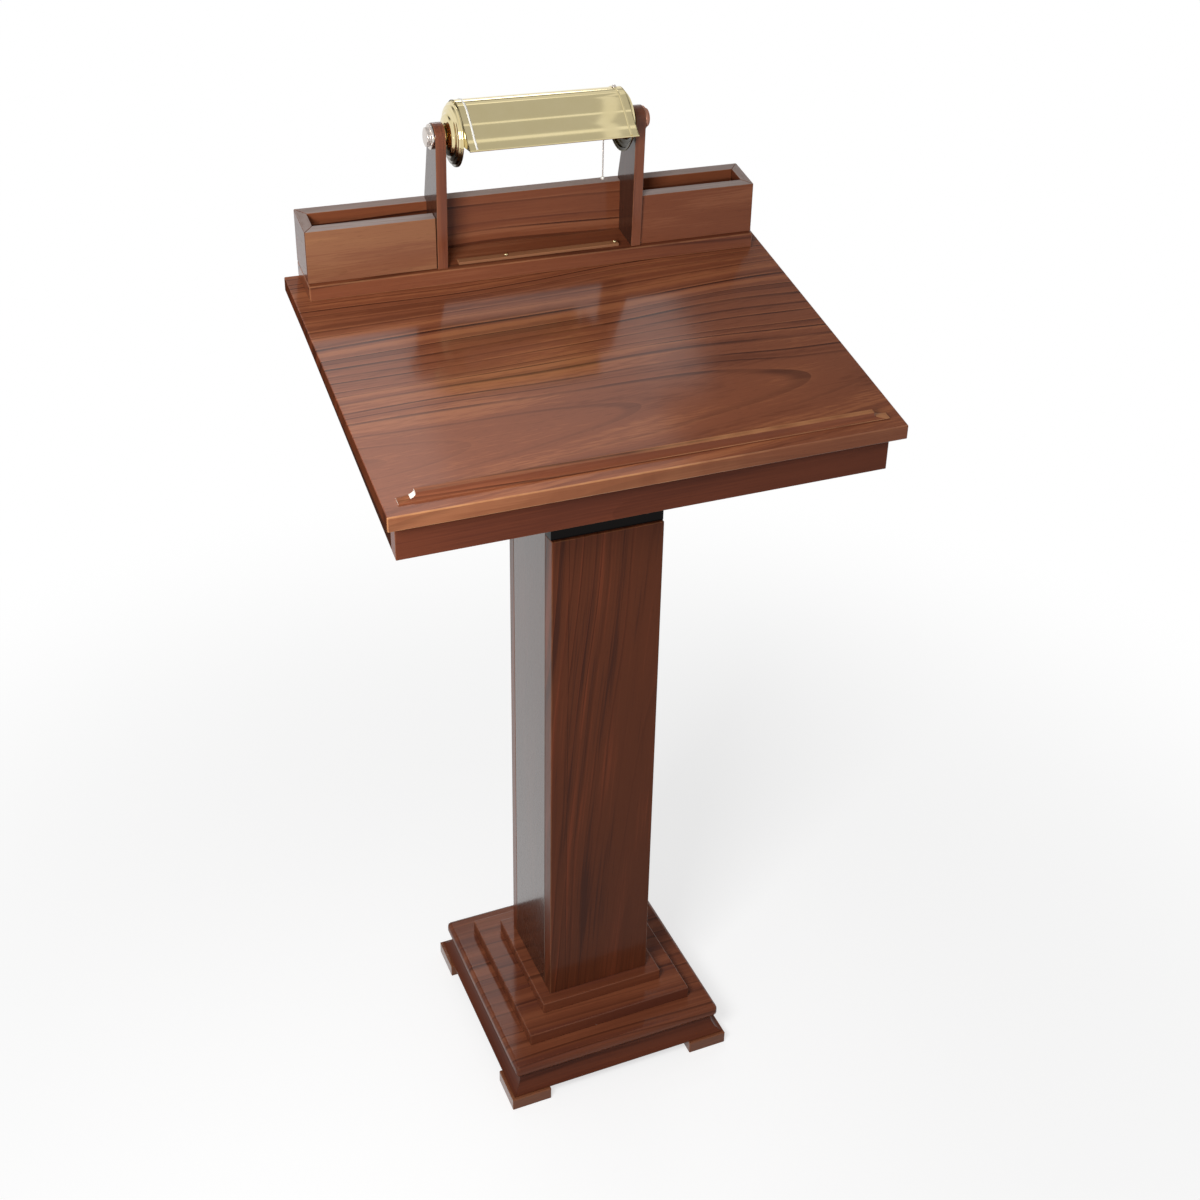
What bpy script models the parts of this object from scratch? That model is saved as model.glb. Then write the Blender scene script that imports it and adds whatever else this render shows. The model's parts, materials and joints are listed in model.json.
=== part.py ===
"""Standing lectern: stepped base, boxed column, sloping desk, pen tray and a tilting brass lamp.

Metres, +Z up, reader on the -Y side. The origin is on the floor under the column.
"""

import math

import bmesh
import bpy
from mathutils import Matrix, Vector

# Clearances
GAP = 0.0003
MITRE_GAP = 0.0002

# Pedestal base
FOOT_HEIGHT = 0.021
FOOT_LEG = 0.0627
SKIRT_HEIGHT = 0.0305
SKIRT_WALL = 0.014
SKIRT_RECESS = 0.009
SKIRT_TOE = 0.002
SKIRT_REACH = 0.006
TOE_REACH = 0.0103
BASE_SIZE = 0.340
BASE_THICKNESS = 0.020
BASE_NOSE = 0.006
MIDDLE_STEP_SIZE = 0.268
MIDDLE_STEP_THICKNESS = 0.020
TOP_STEP_SIZE = 0.199
TOP_STEP_THICKNESS = 0.019
EASED_EDGE = 0.0015

# Column
COLUMN_WIDTH = 0.164
COLUMN_DEPTH = 0.166
FRONT_PANEL = 0.025
SIDE_PANEL = 0.018
BACK_PANEL = 0.018
FRONT_PANEL_TOP = 0.921
NECK_RECESS = 0.004
BLOCK_HEIGHT = 0.045
GROMMET_HEIGHT = 0.060
GROMMET_RADIUS = 0.011
GROMMET_BORE = 0.005
GROMMET_FLANGE = 0.0025
GROMMET_LIP = 0.003

# Bolts that hold the column to the base and the desk to the column
BOLT_RADIUS = 0.004
BOLT_HEAD_RADIUS = 0.0085
BOLT_HEAD = 0.005
BOLT_SPREAD = 0.060
BOLT_BITE = 0.030
DESK_BOLT_BITE = 0.016

# Desk
DESK_WIDTH = 0.690
DESK_DEPTH = 0.468
DESK_FORWARD = 0.009
DESK_THICKNESS = 0.0192
DESK_SLOPE = math.radians(15.41)
FRONT_EDGE_HEIGHT = 1.0901
APRON_SIDE_INSET = 0.0135
APRON_END_INSET = 0.020
APRON_FRONT_DEPTH = 0.0550
APRON_BACK_DEPTH = 0.0420
APRON_WALL = 0.018
BEARER_WIDTH = 0.300
BEARER_DEPTH = 0.220
BEARER_THICKNESS = 0.025

# Book ledge: a coved strip with swept ends
LEDGE_LENGTH = 0.6526
LEDGE_WIDTH = 0.0115
LEDGE_SET_BACK = 0.016
LEDGE_LIP = 0.0015
LEDGE_COVE = 0.0055
LEDGE_RUN = 0.0045
LEDGE_END_RUN = 0.0215
LEDGE_FILLET = 0.0025
LEDGE_STEPS = 6

# Pen tray
TRAY_WIDTH = 0.6512
TRAY_DEPTH = 0.062
TRAY_BASE = 0.0205
TRAY_WALL = 0.014
TRAY_WALL_HEIGHT = 0.0695
TRAY_LIP = 0.006
RAIL_LENGTH = 0.236
RAIL_WIDTH = 0.009
RAIL_HEIGHT = 0.0035
RAIL_SET_BACK = 0.008
PIN_HEAD_RADIUS = 0.0028
PIN_HEAD = 0.0018
PIN_RADIUS = 0.0012
PIN_BITE = 0.004
PIN_SPACING = 0.1615
PIN_END_INSET = 0.0055

# Lamp posts
POST_SPACING = 0.2692
POST_THICKNESS = 0.0145
POST_SET_BACK = 0.003
POST_RISE = 0.174
POST_HEAD_RADIUS = 0.018
POST_SHOULDER = 0.006
POST_OVERHANG = 0.008
PIVOT_SET_BACK = 0.012

# Lamp head
SHADE_LENGTH = 0.236
SHADE_SHEET = 0.0012
SHADE_CROWN = 0.0445
SHADE_TOP_RADIUS = 0.035
WING_ANGLE = math.radians(47)
WING_LENGTH = 0.036
LIP_ANGLE = math.radians(43.5)
LIP_LENGTH = 0.020
SHADE_STEPS = 6
CUP_RADIUS = 0.042
CUP_WALL = 0.0013
CUP_RIM_SHARE = 0.14
CUP_STEPS = ((0.22, 0.90), (0.42, 0.85), (0.50, 0.70), (0.57, 0.52), (0.84, 0.42))
HUB_RADIUS = 0.014
WASHER_RADIUS = 0.013
WASHER_THICKNESS = 0.0025
STUD_RADIUS = 0.0045
STUD_BORE = 0.0022
STUD_HEAD_RADIUS = 0.009
STUD_HEAD = 0.003
KNOB_FLANGE_RADIUS = 0.0165
KNOB_FLANGE = 0.0035
KNOB_RADIUS = 0.0125
KNOB_CROWN_RADIUS = 0.0100
KNOB_LENGTH = 0.0055
KNOB_SOCKET = 0.006
KNOB_EDGE = 0.001
SOCKET_RADIUS = 0.015
SOCKET_LENGTH = 0.042
SOCKET_BORE = 0.0112
SOCKET_BORE_DEPTH = 0.024
SOCKET_THREAD = 0.009
BULB_RADIUS = 0.0125
BULB_LENGTH = 0.155
BULB_BASE_RADIUS = 0.0106
FINIAL_RADIUS = 0.0036
FINIAL_HEIGHT = 0.0030
FINIAL_SHIFT = 0.108

# Pull switch and its ball chain
SWITCH_RADIUS = 0.0050
SWITCH_TIP_RADIUS = 0.0035
SWITCH_DROP = 0.009
SWITCH_SHIFT = 0.094
EYE_RADIUS = 0.0020
CHAIN_DIAMETER = 0.0022
CHAIN_LENGTH = 0.046
CHAIN_POINTS = 9
BEAD_RADIUS = 0.0028

# Facets round a turned piece
TURN_STEPS = 32
FINE_STEPS = 16
SHARP = math.radians(35)

# Heights of the stacked boards
SKIRT_LOW = FOOT_HEIGHT + GAP
SKIRT_TOP = SKIRT_LOW + SKIRT_HEIGHT
BASE_LOW = SKIRT_TOP + GAP
BASE_TOP = BASE_LOW + BASE_THICKNESS
MIDDLE_LOW = BASE_TOP + GAP
MIDDLE_TOP = MIDDLE_LOW + MIDDLE_STEP_THICKNESS
TOP_STEP_LOW = MIDDLE_TOP + GAP
TOP_STEP_TOP = TOP_STEP_LOW + TOP_STEP_THICKNESS
COLUMN_LOW = TOP_STEP_TOP + GAP

# Places along Y, front to back
DESK_FRONT = -DESK_DEPTH / 2 - DESK_FORWARD
DESK_BACK = DESK_DEPTH / 2 - DESK_FORWARD
COLUMN_FRONT = -COLUMN_DEPTH / 2
COLUMN_BACK = COLUMN_DEPTH / 2
TRAY_FRONT = DESK_BACK - TRAY_DEPTH
TRAY_PANEL_FRONT = TRAY_FRONT + TRAY_LIP
TRAY_BACK_INSIDE = DESK_BACK - TRAY_WALL
POST_FRONT = TRAY_FRONT + POST_SET_BACK
POST_BACK = TRAY_BACK_INSIDE - GAP

# Rises above the desk's sloping top, measured upright
BOARD_UNDER = -DESK_THICKNESS
APRON_TOP = BOARD_UNDER - GAP
BEARER_LOW = APRON_TOP - BEARER_THICKNESS
COLUMN_TOP = BEARER_LOW - GAP
TRAY_BASE_TOP = GAP + TRAY_BASE
TRAY_WALL_LOW = TRAY_BASE_TOP + GAP
TRAY_WALL_TOP = TRAY_WALL_LOW + TRAY_WALL_HEIGHT


def slope(rise):
    """The plane parallel to the desk's top, the given rise above it."""
    return lambda y: FRONT_EDGE_HEIGHT + rise + (y - DESK_FRONT) * math.tan(DESK_SLOPE)


def level(height):
    return lambda y: height


PIVOT_Y = POST_FRONT + PIVOT_SET_BACK - GAP
PIVOT_Z = slope(TRAY_WALL_LOW)(PIVOT_Y) + POST_RISE
PIVOT = Vector((0, PIVOT_Y, PIVOT_Z))

# Places along X, from the lamp's middle out to the knobs
SHADE_END = SHADE_LENGTH / 2
CUP_RIM = SHADE_END + GAP
POST_INNER = POST_SPACING / 2
POST_OUTER = POST_INNER + POST_THICKNESS
WASHER_OUT = POST_INNER - GAP
WASHER_IN = WASHER_OUT - WASHER_THICKNESS
CUP_HUB = WASHER_IN - GAP
CUP_DEPTH = CUP_HUB - CUP_RIM
KNOB_IN = POST_OUTER + GAP
KNOB_OUT = KNOB_IN + KNOB_FLANGE + KNOB_LENGTH
STUD_OUT = KNOB_IN + KNOB_SOCKET - GAP
SOCKET_OUT = SHADE_END - SHADE_SHEET - GAP
SOCKET_IN = SOCKET_OUT - SOCKET_LENGTH

# Heights along the hanging chain, downwards
SWITCH_TOP = PIVOT_Z - SOCKET_RADIUS - GAP
SWITCH_LOW = SWITCH_TOP - SWITCH_DROP
EYE_CENTRE = SWITCH_LOW - GAP - EYE_RADIUS
CHAIN_TOP = EYE_CENTRE - EYE_RADIUS - GAP
CHAIN_LOW = CHAIN_TOP - CHAIN_LENGTH
BEAD_CENTRE = CHAIN_LOW - GAP - BEAD_RADIUS


# Materials

def make_material(name, colour, roughness, metallic=0.0):
    material = bpy.data.materials.new(name)
    material.use_nodes = True
    shader = material.node_tree.nodes["Principled BSDF"]
    shader.inputs["Base Color"].default_value = (*colour, 1.0)
    shader.inputs["Roughness"].default_value = roughness
    shader.inputs["Metallic"].default_value = metallic
    material.diffuse_color = (*colour, 1.0)
    return material


FINISHES = {
    "mahogany": ((0.175, 0.052, 0.024), 0.18, 0.0),
    "black_lacquer": ((0.006, 0.005, 0.005), 0.22, 0.0),
    "softwood": ((0.480, 0.330, 0.190), 0.60, 0.0),
    "brass": ((0.640, 0.500, 0.220), 0.14, 1.0),
    "nickel": ((0.650, 0.600, 0.550), 0.16, 1.0),
    "steel": ((0.500, 0.500, 0.510), 0.30, 1.0),
    "frosted_glass": ((0.900, 0.890, 0.850), 0.35, 0.0),
    "black_moulding": ((0.012, 0.012, 0.012), 0.40, 0.0),
    "white_plastic": ((0.850, 0.840, 0.800), 0.30, 0.0),
}


# Shape helpers

def add_piece(bm, name, finish, origin=(0, 0, 0), bevel=0.0, smooth=False):
    """Turns a mesh in world places into a named object with its own material and origin."""
    bmesh.ops.recalc_face_normals(bm, faces=bm.faces)
    bmesh.ops.translate(bm, vec=-Vector(origin), verts=bm.verts)
    mesh = bpy.data.meshes.new(name)
    bm.to_mesh(mesh)
    bm.free()
    if smooth:
        mesh.shade_smooth()
        mesh.set_sharp_from_angle(angle=SHARP)
    piece = bpy.data.objects.new(name, mesh)
    piece.location = origin
    bpy.context.scene.collection.objects.link(piece)
    mesh.materials.append(make_material(name, *FINISHES[finish]))
    if bevel:
        edge = piece.modifiers.new("eased_edge", "BEVEL")
        edge.width = bevel
        edge.segments = 2
        edge.limit_method = "ANGLE"
        edge.angle_limit = SHARP
    return piece


def loft(loops, closed=False):
    """Joins loops of points with faces, and caps the ends unless the last loop meets the first."""
    bm = bmesh.new()
    rings = [[bm.verts.new(point) for point in loop] for loop in loops]
    pairs = list(zip(rings, rings[1:]))
    if closed:
        pairs.append((rings[-1], rings[0]))
    else:
        for ring in (rings[0], rings[-1]):
            if len(ring) > 1:
                bm.faces.new(ring)
    for near, far in pairs:
        count = max(len(near), len(far))
        for i in range(count):
            j = (i + 1) % count
            if len(near) == 1:
                bm.faces.new((near[0], far[i], far[j]))
            elif len(far) == 1:
                bm.faces.new((near[i], far[0], near[j]))
            else:
                bm.faces.new((near[i], near[j], far[j], far[i]))
    return bm


def rectangle(x_low, x_high, y_low, y_high):
    return [(x_low, y_low), (x_high, y_low), (x_high, y_high), (x_low, y_high)]


def plan_prism(plan, low, high):
    """A plan outline raised between two planes, each a function of y."""
    return loft([[(x, y, plane(y)) for x, y in plan] for plane in (low, high)])


def side_prism(profile, x_low, x_high):
    """An outline of (y, z) points pushed along X."""
    return loft([[(x, y, z) for y, z in profile] for x in (x_low, x_high)])


def turned(profile, centre, axis, steps=TURN_STEPS):
    """Turns (along, radius) points round an axis; radius 0 at both ends closes it, else it is a ring."""
    loops = []
    for along, radius in profile:
        loop = []
        for step in range(steps if radius else 1):
            angle = math.tau * step / steps
            across = radius * math.cos(angle), radius * math.sin(angle)
            place = (along, *across) if axis == "X" else (*across, along)
            loop.append(Vector(centre) + Vector(place))
        loops.append(loop)
    return loft(loops, closed=bool(profile[0][1]))


def dome(low, height, radius, steps=4):
    """The (along, radius) points of a half-round head that stands on low."""
    points = [(low, 0), (low, radius)]
    for step in range(1, steps):
        angle = math.pi / 2 * step / steps
        points.append((low + height * math.sin(angle), radius * math.cos(angle)))
    return points + [(low + height, 0)]


def ball(centre, radius, steps=8):
    """The (along, radius) points of a ball."""
    points = [(centre - radius, 0)]
    for step in range(1, steps):
        angle = math.pi * step / steps
        points.append((centre - radius * math.cos(angle), radius * math.sin(angle)))
    return points + [(centre + radius, 0)]


def cut(piece, cutter_mesh):
    """Cuts a shape out of a piece."""
    cutter = add_piece(cutter_mesh, piece.name + "_cutter", "steel")
    cutter.hide_render = True
    cutter.display_type = "WIRE"
    boolean = piece.modifiers.new("cut", "BOOLEAN")
    boolean.operation = "DIFFERENCE"
    boolean.solver = "EXACT"
    boolean.object = cutter


def cut_round(piece, centre, axis, low, high, radius):
    """Cuts a round hole from low to high along the axis."""
    profile = [(low, 0), (low, radius), (high, radius), (high, 0)]
    cut(piece, turned(profile, centre, axis, FINE_STEPS))


# Pedestal

def pedestal_turn(bm, quarter):
    """Turns a mesh made for the front by quarters round the pedestal's middle."""
    turn = Matrix.Rotation(quarter * math.pi / 2, 3, "Z")
    bmesh.ops.rotate(bm, cent=(0, 0, 0), matrix=turn, verts=bm.verts)
    return bm


def skirt_profile():
    """The skirt's section as (reach from the middle, height): a cove that runs out over the feet."""
    top = BASE_SIZE / 2 - SKIRT_RECESS
    inner = top - SKIRT_WALL
    toe = BASE_SIZE / 2 + SKIRT_REACH
    spring = SKIRT_LOW + SKIRT_TOE
    points = [(inner, SKIRT_LOW), (toe, SKIRT_LOW)]
    cove_steps = 6
    for step in range(cove_steps + 1):
        angle = math.pi / 2 * step / cove_steps
        reach = toe - (toe - top) * math.sin(angle)
        points.append((reach, SKIRT_TOP - (SKIRT_TOP - spring) * math.cos(angle)))
    return points + [(inner, SKIRT_TOP)]


def make_skirt():
    profile = skirt_profile()
    for quarter, side in enumerate(("front", "right", "back", "left")):
        ends = []
        for end in (-1, 1):
            ends.append([(end * (reach - MITRE_GAP), -reach, z) for reach, z in profile])
        add_piece(pedestal_turn(loft(ends), quarter), "skirt_" + side, "mahogany", smooth=True)


def make_feet():
    toe = BASE_SIZE / 2 + TOE_REACH
    width = TOE_REACH + SKIRT_RECESS + SKIRT_WALL
    plan = [(-toe, -toe), (FOOT_LEG - toe, -toe), (FOOT_LEG - toe, width - toe)]
    plan += [(y, x) for x, y in reversed(plan[1:])]
    plan.insert(3, (width - toe, width - toe))
    for quarter, corner in enumerate(("front_left", "front_right", "back_right", "back_left")):
        foot = pedestal_turn(plan_prism(plan, level(0), level(FOOT_HEIGHT)), quarter)
        add_piece(foot, "foot_" + corner, "mahogany", bevel=EASED_EDGE)


def make_base_boards():
    boards = (
        ("base_board", BASE_SIZE, BASE_LOW, BASE_TOP, BASE_NOSE),
        ("middle_step", MIDDLE_STEP_SIZE, MIDDLE_LOW, MIDDLE_TOP, EASED_EDGE),
        ("top_step", TOP_STEP_SIZE, TOP_STEP_LOW, TOP_STEP_TOP, EASED_EDGE),
    )
    for name, size, low, high, edge in boards:
        plan = rectangle(-size / 2, size / 2, -size / 2, size / 2)
        board = add_piece(plan_prism(plan, level(low), level(high)), name, "mahogany", bevel=edge)
        for side in (-1, 1):
            cut_round(board, bolt_place(side), "Z", low - BOLT_HEAD, high + BOLT_HEAD, BOLT_RADIUS + GAP)


# Column

def bolt_place(side):
    return side * BOLT_SPREAD / 2, 0, 0


def column_plan(wall_left, wall_front, wall_back):
    """The column's plan inside the given walls."""
    half = COLUMN_WIDTH / 2 - wall_left
    return rectangle(-half, half, COLUMN_FRONT + wall_front, COLUMN_BACK - wall_back)


def make_column():
    half = COLUMN_WIDTH / 2
    front = rectangle(-half, half, COLUMN_FRONT, COLUMN_FRONT + FRONT_PANEL)
    panel = plan_prism(front, level(COLUMN_LOW), level(FRONT_PANEL_TOP))
    add_piece(panel, "column_front", "mahogany", bevel=EASED_EDGE)
    neck = rectangle(-half, half, COLUMN_FRONT + NECK_RECESS, COLUMN_FRONT + FRONT_PANEL)
    neck_low = FRONT_PANEL_TOP + GAP
    add_piece(plan_prism(neck, level(neck_low), slope(COLUMN_TOP)), "neck_panel", "black_lacquer")

    side_front = COLUMN_FRONT + FRONT_PANEL + GAP
    side_back = COLUMN_BACK - BACK_PANEL - GAP
    for name, side in (("column_left", -1), ("column_right", 1)):
        plan = rectangle(*sorted((side * half, side * (half - SIDE_PANEL))), side_front, side_back)
        add_piece(plan_prism(plan, level(COLUMN_LOW), slope(COLUMN_TOP)), name, "mahogany")
    back = rectangle(-half, half, COLUMN_BACK - BACK_PANEL, COLUMN_BACK)
    panel = add_piece(plan_prism(back, level(COLUMN_LOW), slope(COLUMN_TOP)), "column_back", "mahogany",
                      bevel=EASED_EDGE)
    make_grommet(panel)


def make_grommet(panel):
    """A moulded ring that lines the cable's way out, low in the column's back."""
    lip_out = COLUMN_BACK + GAP + GROMMET_LIP
    sleeve_in = COLUMN_BACK - BACK_PANEL
    centre = Vector((0, 0, COLUMN_LOW + GROMMET_HEIGHT))
    flange = GROMMET_RADIUS + GROMMET_FLANGE
    profile = [(lip_out, GROMMET_BORE), (lip_out, flange), (COLUMN_BACK + GAP, flange)]
    profile += [(COLUMN_BACK + GAP, GROMMET_RADIUS), (sleeve_in, GROMMET_RADIUS), (sleeve_in, GROMMET_BORE)]
    quarter = Matrix.Rotation(math.pi / 2, 3, "Z")
    ring = turned(profile, (0, 0, 0), "X", FINE_STEPS)
    bmesh.ops.rotate(ring, cent=(0, 0, 0), matrix=quarter, verts=ring.verts)
    bmesh.ops.translate(ring, vec=centre, verts=ring.verts)
    add_piece(ring, "cord_grommet", "black_moulding", smooth=True)
    hole = [(sleeve_in - GROMMET_LIP, 0), (sleeve_in - GROMMET_LIP, GROMMET_RADIUS + GAP)]
    hole += [(lip_out + GROMMET_LIP, GROMMET_RADIUS + GAP), (lip_out + GROMMET_LIP, 0)]
    cutter = turned(hole, (0, 0, 0), "X", FINE_STEPS)
    bmesh.ops.rotate(cutter, cent=(0, 0, 0), matrix=quarter, verts=cutter.verts)
    bmesh.ops.translate(cutter, vec=centre, verts=cutter.verts)
    cut(panel, cutter)


def make_blocks_and_bolts():
    """Blocks inside the column's ends, and the bolts that hold them to the base and the bearer."""
    plan = column_plan(SIDE_PANEL + GAP, FRONT_PANEL + GAP, BACK_PANEL + GAP)
    foot_top = COLUMN_LOW + BLOCK_HEIGHT
    foot = add_piece(plan_prism(plan, level(COLUMN_LOW), level(foot_top)), "column_foot_block", "softwood")
    head_low = slope(COLUMN_TOP)(COLUMN_FRONT) - BLOCK_HEIGHT
    head = add_piece(plan_prism(plan, level(head_low), slope(COLUMN_TOP)), "column_head_block", "softwood")

    bearer_x = BEARER_WIDTH / 2
    bearer_y = -BEARER_DEPTH / 2, BEARER_DEPTH / 2
    bearer_mesh = plan_prism(rectangle(-bearer_x, bearer_x, *bearer_y), slope(BEARER_LOW), slope(APRON_TOP))
    bearer = add_piece(bearer_mesh, "desk_bearer", "softwood")

    bearer_low = slope(BEARER_LOW)(0)
    for name, side in (("left", -1), ("right", 1)):
        place = bolt_place(side)
        base_tip = COLUMN_LOW + BOLT_BITE
        bolt_shape(place, BASE_LOW - GAP, base_tip, "base_bolt_" + name)
        cut_round(foot, place, "Z", COLUMN_LOW - BOLT_HEAD, base_tip + GAP, BOLT_RADIUS + GAP)
        desk_tip = bearer_low + DESK_BOLT_BITE
        bolt_shape(place, head_low - GAP, desk_tip, "desk_bolt_" + name)
        cut_round(head, place, "Z", head_low - BOLT_HEAD, desk_tip, BOLT_RADIUS + GAP)
        cut_round(bearer, place, "Z", head_low, desk_tip + GAP, BOLT_RADIUS + GAP)


def bolt_shape(place, seat, tip, name):
    """A round-headed bolt that points up from its seat."""
    crown = seat - BOLT_HEAD
    brow = seat - BOLT_HEAD / 2
    profile = [(crown, 0), (crown, BOLT_HEAD_RADIUS / 2), (brow, BOLT_HEAD_RADIUS), (seat, BOLT_HEAD_RADIUS)]
    profile += [(seat, BOLT_RADIUS), (tip - BOLT_RADIUS, BOLT_RADIUS), (tip, 0)]
    add_piece(turned(profile, place, "Z", FINE_STEPS), name, "steel", smooth=True)


# Desk

def make_desk():
    half = DESK_WIDTH / 2
    board = plan_prism(rectangle(-half, half, DESK_FRONT, DESK_BACK), slope(BOARD_UNDER), slope(0))
    add_piece(board, "desk_top", "mahogany", bevel=EASED_EDGE)

    outer = half - APRON_SIDE_INSET
    inner = outer - APRON_WALL
    front, back = DESK_FRONT + APRON_END_INSET, DESK_BACK - APRON_END_INSET
    side_front, side_back = front + APRON_WALL + GAP, back - APRON_WALL - GAP
    walls = {
        "apron_front": rectangle(-outer, outer, front, front + APRON_WALL),
        "apron_back": rectangle(-outer, outer, back - APRON_WALL, back),
        "apron_left": rectangle(-outer, -inner, side_front, side_back),
        "apron_right": rectangle(inner, outer, side_front, side_back),
    }

    def low(y):
        share = (y - front) / (back - front)
        depth = APRON_FRONT_DEPTH + share * (APRON_BACK_DEPTH - APRON_FRONT_DEPTH)
        return slope(APRON_TOP - depth)(y)

    for name, plan in walls.items():
        add_piece(plan_prism(plan, low, slope(APRON_TOP)), name, "mahogany")


def make_ledge():
    """A low strip that stops the book, coved on its front and swept out at both ends."""
    profile = [(0, 0), (0, LEDGE_LIP)]
    for step in range(1, LEDGE_STEPS + 1):
        angle = math.pi / 2 * step / LEDGE_STEPS
        profile.append((math.sin(angle), LEDGE_LIP + LEDGE_COVE * (1 - math.cos(angle))))
    profile.append((1, LEDGE_LIP + LEDGE_COVE + LEDGE_FILLET))
    front = DESK_FRONT + LEDGE_SET_BACK
    loops = []
    for share, rise in profile:
        half = LEDGE_LENGTH / 2 - share * LEDGE_END_RUN
        plane = slope(GAP + rise)
        corners = rectangle(-half, half, front + share * LEDGE_RUN, front + LEDGE_WIDTH)
        loops.append([(x, y, plane(y)) for x, y in corners])
    add_piece(loft(loops), "book_ledge", "mahogany")


# Pen tray

def make_tray():
    half = TRAY_WIDTH / 2
    base = plan_prism(rectangle(-half, half, TRAY_FRONT, DESK_BACK), slope(GAP), slope(TRAY_BASE_TOP))
    tray_base = add_piece(base, "tray_base", "mahogany", bevel=EASED_EDGE)

    front, back, wall = TRAY_PANEL_FRONT, DESK_BACK, TRAY_WALL
    inner_end = POST_OUTER + GAP
    back_plan = [(-half + MITRE_GAP, back), (half - MITRE_GAP, back)]
    back_plan += [(half - wall - MITRE_GAP, back - wall), (-half + wall + MITRE_GAP, back - wall)]
    plans = {"tray_back": back_plan}
    for name, side in (("left", -1), ("right", 1)):
        mitre, end = half - MITRE_GAP, half - wall - MITRE_GAP
        plan = [(mitre, front), (inner_end, front), (inner_end, front + wall), (end, front + wall)]
        plans["tray_front_" + name] = [(side * x, y) for x, y in plan]
        plan = [(half, front + MITRE_GAP), (half - wall, front + wall + MITRE_GAP)]
        plan += [(half - wall, back - wall - MITRE_GAP), (half, back - MITRE_GAP)]
        plans["tray_end_" + name] = [(side * x, y) for x, y in plan]
    for name, plan in plans.items():
        add_piece(plan_prism(plan, slope(TRAY_WALL_LOW), slope(TRAY_WALL_TOP)), name, "mahogany")
    make_pen_rail(tray_base)


def make_pen_rail(tray_base):
    """A thin strip across the open bay between the posts, held by two brass pins."""
    front = TRAY_FRONT + RAIL_SET_BACK
    half = RAIL_LENGTH / 2
    plan = rectangle(-half, half, front, front + RAIL_WIDTH)
    rail_top = TRAY_WALL_LOW + RAIL_HEIGHT
    mesh = plan_prism(plan, slope(TRAY_WALL_LOW), slope(rail_top))
    rail = add_piece(mesh, "pen_rail", "mahogany")
    pin_y = front + RAIL_WIDTH / 2
    seat = slope(rail_top)(pin_y + PIN_HEAD_RADIUS) + GAP
    tip = slope(TRAY_BASE_TOP)(pin_y) - PIN_BITE
    pin_right = half - PIN_END_INSET
    for name, pin_x in (("left", pin_right - PIN_SPACING), ("right", pin_right)):
        place = (pin_x, pin_y, 0)
        profile = [(tip, 0), (tip, PIN_RADIUS), (seat, PIN_RADIUS)]
        profile += dome(seat, PIN_HEAD, PIN_HEAD_RADIUS)[1:]
        add_piece(turned(profile, place, "Z", FINE_STEPS), "pen_rail_pin_" + name, "brass", smooth=True)
        for board in (rail, tray_base):
            cut_round(board, place, "Z", tip - GAP, seat + PIN_HEAD, PIN_RADIUS + GAP)


# Lamp

def post_profile():
    """A post's side outline: upright in the tray, hooked over its back, tapered to a round head."""
    foot = slope(TRAY_WALL_LOW)
    rest = slope(TRAY_WALL_TOP + GAP)
    hook = POST_BACK + POST_OVERHANG
    points = [(POST_FRONT, foot(POST_FRONT)), (POST_BACK, foot(POST_BACK)), (POST_BACK, rest(POST_BACK))]
    points += [(hook, rest(hook)), (hook, rest(hook) + POST_SHOULDER)]
    head_steps = 10
    for step in range(head_steps + 1):
        angle = math.pi * step / head_steps
        y = PIVOT_Y + POST_HEAD_RADIUS * math.cos(angle)
        points.append((y, PIVOT_Z + POST_HEAD_RADIUS * math.sin(angle)))
    return points


def make_posts():
    for name, side in (("left", -1), ("right", 1)):
        mesh = side_prism(post_profile(), *sorted((side * POST_INNER, side * POST_OUTER)))
        post = add_piece(mesh, "lamp_post_" + name, "mahogany")
        cut_round(post, PIVOT, "X", *sorted((side * WASHER_IN, side * KNOB_OUT)), STUD_RADIUS + GAP)


def shade_section(inset):
    """The shade's section, back lip to front lip over a round crown, drawn in by inset."""
    radius = SHADE_TOP_RADIUS - inset
    arc_centre = SHADE_CROWN - SHADE_TOP_RADIUS
    half = []
    for step in range(SHADE_STEPS + 1):
        angle = WING_ANGLE * step / SHADE_STEPS
        half.append((radius * math.sin(angle), arc_centre + radius * math.cos(angle)))
    bend = (WING_ANGLE + LIP_ANGLE) / 2
    wing_y = SHADE_TOP_RADIUS * math.sin(WING_ANGLE) + WING_LENGTH * math.cos(WING_ANGLE)
    wing_z = arc_centre + SHADE_TOP_RADIUS * math.cos(WING_ANGLE) - WING_LENGTH * math.sin(WING_ANGLE)
    lip_y = wing_y + LIP_LENGTH * math.cos(LIP_ANGLE)
    lip_z = wing_z - LIP_LENGTH * math.sin(LIP_ANGLE)
    half.append((wing_y - inset * math.sin(bend), wing_z - inset * math.cos(bend)))
    half.append((lip_y - inset * math.sin(LIP_ANGLE), lip_z - inset * math.cos(LIP_ANGLE)))
    return half


def shade_outline(inset, drop):
    """The whole section in world (y, z), closed by straight sides that hang drop below the lips."""
    half = shade_section(inset)
    lip_y, lip_z = half[-1]
    if drop:
        half.append((lip_y, lip_z - drop))
    loop = half + [(-y, z) for y, z in reversed(half[1:])]
    return [(PIVOT_Y + y, PIVOT_Z + z) for y, z in loop]


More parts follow.
